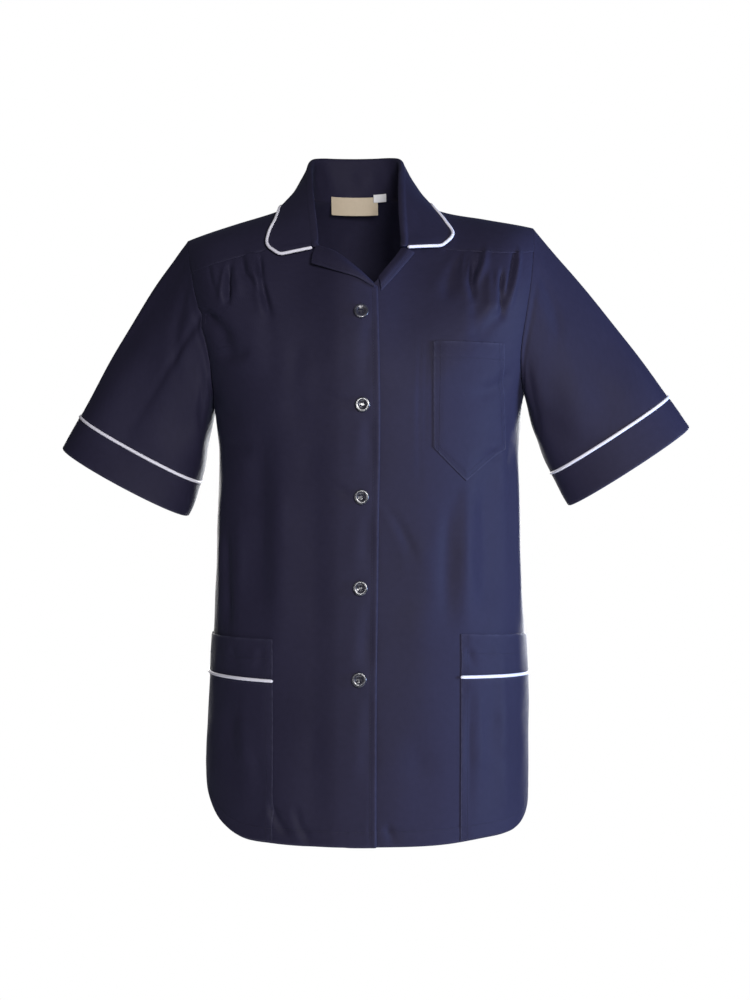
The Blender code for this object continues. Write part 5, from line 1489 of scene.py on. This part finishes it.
def build_labels():
    """The label and the white tab over it, left bare, hanging from the back neck seam."""
    for name, slot, ends, heights, inside in (
        ("neck_label", "label", LABEL_ACROSS, LABEL_HEIGHTS, LABEL_INSIDE),
        ("size_tab", "tab", TAB_ACROSS, TAB_HEIGHTS, LABEL_INSIDE + LABEL_CLOTH + SEAM),
    ):
        share = np.linspace(0, 1, LABEL_ROWS + 1)[:, None]
        height, across = np.broadcast_arrays(
            np.linspace(*heights, LABEL_ROWS + 1)[:, None], np.linspace(*ends, LABEL_COLUMNS + 1)
        )
        out = (across - section(heights[1]).centre) / NECK_HALF_WIDTH
        behind = BACK_NECK_DEPTH * np.sqrt(1 - out**2) - inside
        behind = behind + (LABEL_HEIGHTS[1] - height) * LABEL_SLOPE
        wave = 0.35 * np.sin(across / 7.0) * (1 - share) + 0.12 * np.sin(across / 2.6)
        outer = np.stack([across, behind + wave * 0.5, height], axis=-1)
        inner = outer - np.array([0.0, LABEL_WALL, 0.0])
        wear = edge_wear(outer, ("low", "high", "first", "last"), LABEL_WEAR_REACH)
        shell(f"{name}_cloth", name, outer, inner, wear, slot=slot)


class Nodes:
    """A material's nodes, added by kind, with numbers, colours or other outputs for their inputs."""

    def __init__(self, name):
        """A new material, its shader, and the place on the piece."""
        self.material = bpy.data.materials.new(name)
        self.material.use_nodes = True
        self.tree = self.material.node_tree
        self.shader = self.tree.nodes["Principled BSDF"]
        self.place = self.add("ShaderNodeTexCoord").outputs["Object"]

    def add(self, kind, **settings):
        """A node with its own settings made."""
        node = self.tree.nodes.new(kind)
        for key, value in settings.items():
            setattr(node, key, value)
        return node

    def give(self, socket, value):
        """A number, a colour or another output given to an input."""
        if isinstance(value, bpy.types.NodeSocket):
            self.tree.links.new(value, socket)
        else:
            socket.default_value = value

    def fill(self, node, **values):
        """Values given to a node's inputs by name."""
        for key, value in values.items():
            self.give(node.inputs[key.replace("_", " ")], value)
        return node

    def maths(self, operation, *values):
        """The result of a sum over outputs and numbers."""
        node = self.add("ShaderNodeMath", operation=operation)
        for socket, value in zip(node.inputs, values):
            self.give(socket, value)
        return node.outputs[0]

    def plus(self, first, second):
        """Two values added."""
        return self.maths("ADD", first, second)

    def times(self, first, second):
        """Two values multiplied."""
        return self.maths("MULTIPLY", first, second)

    def weave(self):
        """The place along the cloth, and its two parts."""
        place = self.add("ShaderNodeAttribute", attribute_name="cloth_uv").outputs["Vector"]
        parts = self.add("ShaderNodeSeparateXYZ")
        self.give(parts.inputs[0], place)
        return place, parts.outputs[0], parts.outputs[1]

    def noise(self, place, scale, detail):
        """Soft noise over places, about 0.5."""
        node = self.add("ShaderNodeTexNoise")
        return self.fill(node, Vector=place, Scale=scale, Detail=detail).outputs["Fac"]

    def ranged(self, value, low, high, to_low=0.0, to_high=1.0):
        """A value brought from one range to another."""
        node = self.add("ShaderNodeMapRange")
        self.fill(node, Value=value, From_Min=low, From_Max=high, To_Min=to_low, To_Max=to_high)
        return node.outputs["Result"]

    def mixed(self, factor, first, second):
        """A colour between two, by a factor."""
        node = self.fill(self.add("ShaderNodeMix", data_type="RGBA"), Factor=factor)
        for key, value in (("A", first), ("B", second)):
            socket = next(s for s in node.inputs if s.name == key and s.type == "RGBA")
            self.give(socket, (*value, 1.0) if isinstance(value, tuple) else value)
        return next(s for s in node.outputs if s.type == "RGBA")

    def finish(self, height, strength, distance, **values):
        """The material, with a bump from a height and values for its shader."""
        bump = self.fill(self.add("ShaderNodeBump"), Height=height, Strength=strength, Distance=distance)
        self.fill(self.shader, Normal=bump.outputs["Normal"], **values)
        return self.material


def woven_look(name, dark, light, faded, twill_pitch, sheen, tint, roughness, specular, strength):
    """Cloth: a diagonal weave, slight shade changes, and paler worn edges."""
    nodes = Nodes(name)
    weave, over, up = nodes.weave()
    worn = nodes.add("ShaderNodeAttribute", attribute_name="wear").outputs["Fac"]
    slant = nodes.plus(over, nodes.times(up, 0.8))
    ribs = nodes.maths("SINE", nodes.times(slant, 2 * math.pi / twill_pitch))
    threads = nodes.noise(weave, 1400.0, 2.0)
    blotch = nodes.noise(nodes.place, 7.0, 4.0)
    slub = nodes.noise(weave, 160.0, 3.0)
    shade = nodes.plus(nodes.times(blotch, 0.55), nodes.times(slub, 0.3))
    shade = nodes.plus(shade, nodes.times(ribs, 0.09))
    base = nodes.mixed(nodes.ranged(shade, 0.2, 0.7), dark, light)
    rubbed = nodes.times(nodes.times(worn, nodes.ranged(slub, 0.35, 0.65, 0.35, 1.0)), 0.4)
    rough = nodes.ranged(blotch, 0.3, 0.7, roughness - 0.05, roughness + 0.06)
    return nodes.finish(
        nodes.plus(nodes.times(ribs, 0.5), threads), strength, 0.00012,
        Base_Color=nodes.mixed(rubbed, base, faded),
        Roughness=nodes.maths("SUBTRACT", rough, nodes.times(worn, 0.06)),
        Sheen_Weight=sheen, Sheen_Roughness=0.42, Sheen_Tint=(*tint, 1.0), Specular_IOR_Level=specular,
    )


def cord_look():
    """Piping: a bias strip over a cord, pale, with faint slanting strain lines."""
    nodes = Nodes("piping_strip")
    weave, over, up = nodes.weave()
    strain = nodes.maths("SINE", nodes.times(nodes.plus(over, up), 2 * math.pi / 0.0016))
    threads = nodes.noise(weave, 2200.0, 2.0)
    soil = nodes.noise(nodes.place, 26.0, 4.0)
    return nodes.finish(
        nodes.plus(nodes.times(strain, 0.6), threads), 0.35, 0.00012,
        Base_Color=nodes.mixed(nodes.ranged(soil, 0.35, 0.75), (0.80, 0.79, 0.87), (0.70, 0.69, 0.79)),
        Roughness=nodes.ranged(soil, 0.3, 0.7, 0.42, 0.55),
        Sheen_Weight=0.2, Sheen_Roughness=0.4, Specular_IOR_Level=0.4,
    )


def gloss_look():
    """Buttons: glossy dark plastic with a faint swirl and fine handling marks."""
    nodes = Nodes("button_plastic")
    swirl = nodes.noise(nodes.place, 210.0, 5.0)
    marks = nodes.noise(nodes.place, 1500.0, 2.0)
    dark, light = (0.012, 0.012, 0.018), (0.034, 0.034, 0.048)
    return nodes.finish(
        swirl, 0.12, 0.0001, Base_Color=nodes.mixed(nodes.ranged(swirl, 0.35, 0.7), dark, light),
        Roughness=nodes.ranged(marks, 0.3, 0.8, 0.24, 0.36),
        Specular_IOR_Level=0.7, Coat_Weight=0.5, Coat_Roughness=0.12,
    )


def paper_look():
    """The studio floor: plain pale, with the faintest unevenness."""
    nodes = Nodes("studio_floor")
    shade = nodes.noise(nodes.place, 3.0, 2.0)
    return nodes.finish(
        nodes.noise(nodes.place, 90.0, 2.0), 0.05, 0.0005,
        Base_Color=nodes.mixed(shade, (0.90, 0.90, 0.90), (0.94, 0.94, 0.94)),
        Roughness=nodes.ranged(shade, 0.3, 0.7, 0.75, 0.9),
        Emission_Color=WHITE, Emission_Strength=FLOOR_GLOW,
    )


def build_floor():
    """A pale round floor, in rings about its middle."""
    count = FLOOR_SIDES
    turn = np.linspace(0, 2 * math.pi, count, endpoint=False)
    rings = [np.stack([reach * np.cos(turn), reach * np.sin(turn)], axis=1) for reach in FLOOR_RINGS]
    points = np.concatenate([[[0.0, 0.0]]] + rings)
    points = np.column_stack([points, np.full(len(points), FLOOR_HEIGHT)])
    faces = [(0, 1 + n, 1 + (n + 1) % count) for n in range(count)]
    for low in range(1, len(rings) * count - count, count):
        high = low + count
        faces += [(low + n, high + n, high + (n + 1) % count, low + (n + 1) % count) for n in range(count)]
    mesh = mesh_of("studio_floor", points, [], faces)
    mesh.shade_smooth()
    mesh.materials.append(paper_look())
    linked("studio_floor", mesh)


def build_world():
    """A surround that is seen as plain white and lights the tunic faintly."""
    world = bpy.data.worlds.new("studio")
    world.use_nodes = True
    bpy.context.scene.world = world
    tree = world.node_tree
    seen, lighting = tree.nodes["Background"], tree.nodes.new("ShaderNodeBackground")
    for node, colour, strength in ((seen, WHITE, 1.0), (lighting, SURROUND_COLOUR, SURROUND)):
        node.inputs["Color"].default_value = colour
        node.inputs["Strength"].default_value = strength
    ray, mix = tree.nodes.new("ShaderNodeLightPath"), tree.nodes.new("ShaderNodeMixShader")
    tree.links.new(ray.outputs["Is Camera Ray"], mix.inputs[0])
    tree.links.new(lighting.outputs[0], mix.inputs[1])
    tree.links.new(seen.outputs[0], mix.inputs[2])
    tree.links.new(mix.outputs[0], tree.nodes["World Output"].inputs["Surface"])


def build_studio():
    """The floor, the surround, soft lights and the camera at the photo's angle."""
    bpy.context.scene.view_settings.view_transform = "Standard"
    build_floor()
    build_world()
    for light in LIGHTS:
        lamp = bpy.data.lights.new(light.name, "AREA")
        lamp.size, lamp.energy, lamp.color = light.size, light.power, light.colour
        holder = linked(light.name, lamp)
        holder.location = light.place
        aim = Vector(light.aim) - Vector(light.place)
        holder.rotation_euler = aim.to_track_quat("-Z", "Y").to_euler()
    turn = math.radians(CAMERA_TURN)
    aim = Vector((CAMERA_SHIFT * math.cos(turn), CAMERA_SHIFT * math.sin(turn), CAMERA_HEIGHT))
    way = Vector((math.sin(turn), -math.cos(turn), 0.0))
    camera = linked("camera", bpy.data.cameras.new("camera"))
    camera.location = aim + way * CAMERA_DISTANCE
    camera.rotation_euler = (-way).to_track_quat("-Z", "Y").to_euler()
    camera.data.lens = CAMERA_LENS
    camera.data.sensor_width = CAMERA_SENSOR
    bpy.context.scene.camera = camera


def sew_all(fronts, back, yokes, sleeves, collar, lapels, pockets):
    """The stitching that shows on each part of the tunic."""
    for side, word in SIDES:
        rows = [line_in(*fronts[side], "low", HEM_STITCH)]
        if side == RIGHT:
            rows.append(line_in(*fronts[side], "first", EDGE_STITCH, *EDGE_STITCH_RUN))
        sew(f"stitches_front_{word}", rows)
        sew(f"stitches_yoke_{word}", [line_in(*yokes[side], "low", YOKE_STITCH)])
        sew(f"stitches_lapel_{word}", [line_in(*lapels[side], "last", LAPEL_STITCH)])
        grids = [np.hstack([grid, grid[:, :1]]) for grid in sleeves[side]]
        rows = [line_in(*grids[:2], "high", CUFF_STITCH)]
        rows += [line_in(*grids[2:], edge, CUFF_STITCH) for edge in ("low", "high")]
        sew(f"stitches_sleeve_{word}", rows)
        bag, band = pockets[side, "bag"], pockets[side, "band"]
        rows = [line_in(*grid, "first", inset) for grid in (bag, band) for inset in POCKET_STITCHES]
        rows += [line_in(*bag, "high", PIPING_STITCH), line_in(*bag, "low", HEM_STITCH - 2.0)]
        rows += [line_in(*band, "low", PIPING_STITCH), line_in(*band, "high", BAND_HEM)]
        sew(f"stitches_hip_pocket_{word}", rows)
    sew("stitches_back", [line_in(*back, "low", HEM_STITCH)])
    chest = pockets["chest"]
    rows = [line_in(*chest, edge, inset) for edge in ("first", "last", "low") for inset in POCKET_STITCHES]
    sew("stitches_chest_pocket", rows + [line_in(*chest, "high", CHEST_HEM)])
    fall = [grid[:, FALL_START:] for grid in collar]
    rows = [line_in(*collar, "last", COLLAR_STITCH)]
    sew("stitches_collar", rows + [line_in(*fall, edge, COLLAR_STITCH) for edge in ("low", "high")])


def fasten(button_places):
    """The thread across each button's holes, and the worked edges of the buttonhole under it."""
    slits = []
    ends = np.linspace(-BUTTONHOLE_LENGTH / 2, BUTTONHOLE_LENGTH / 2, BUTTONHOLE_POINTS)
    for number, (foot, turned) in enumerate(button_places, start=1):
        x, y, z = turned.T
        rows = []
        for along, over in ((x, y), (y, x)) if number % 2 else ((x, y), (x, -y)):
            for offset in BUTTON_THREADS:
                start = foot + over * (HOLE_SPACING + offset) + z * BUTTON_THREAD_HEIGHT
                steps = (-BUTTON_THREAD_END, BUTTON_THREAD_END)
                rows.append((np.array([start + along * step for step in steps]), np.array([z, z])))
        sew(f"thread_{number}", rows, *BUTTON_THREAD)
        up = np.array([0.0, 0.0, 1.0]) - z * z[2]
        across = np.cross(up, z)
        heights = foot[2] + ends
        for offset in BUTTONHOLE_SIDES:
            line = lie(FRONT, angle_at(foot[0] + across[0] * offset, heights), heights, LAP_LIFT)
            slits.append((line, np.repeat(z[None], BUTTONHOLE_POINTS, axis=0)))
    sew("buttonholes", slits, *BUTTONHOLE_THREAD)


NAVY = woven_look(
    "navy_twill", (0.0155, 0.0140, 0.0305), (0.0235, 0.0215, 0.0455), (0.060, 0.060, 0.100),
    0.0009, 0.03, (0.5, 0.6, 1.0), 0.62, 0.10, 0.35,
)
WOVEN = woven_look(
    "label_satin", (0.52, 0.43, 0.31), (0.62, 0.53, 0.40), (0.72, 0.64, 0.52),
    0.0007, 0.3, (1.0, 0.95, 0.85), 0.55, 0.4, 0.4,
)
TAPE = woven_look(
    "tab_tape", (0.80, 0.80, 0.82), (0.88, 0.88, 0.89), (0.92, 0.92, 0.92),
    0.0008, 0.2, (1.0, 1.0, 1.0), 0.6, 0.35, 0.4,
)
THREAD = woven_look(
    "sewing_thread", (0.012, 0.0115, 0.024), (0.018, 0.017, 0.036), (0.03, 0.03, 0.05),
    0.0005, 0.04, (0.6, 0.65, 1.0), 0.55, 0.2, 0.3,
)
LOOKS = {"cloth": NAVY, "label": WOVEN, "tab": TAPE, "piping": cord_look(), "button": gloss_look()}

build_studio()
fronts = build_fronts()
back = build_back()
yokes = build_yokes()
sleeves = build_sleeves()
build_allowances()
collar = build_collar()
lapels = build_lapels()
pockets = build_pockets()
button_places = build_buttons(button_mesh())
build_labels()
sew_all(fronts, back, yokes, sleeves, collar, lapels, pockets)
fasten(button_places)
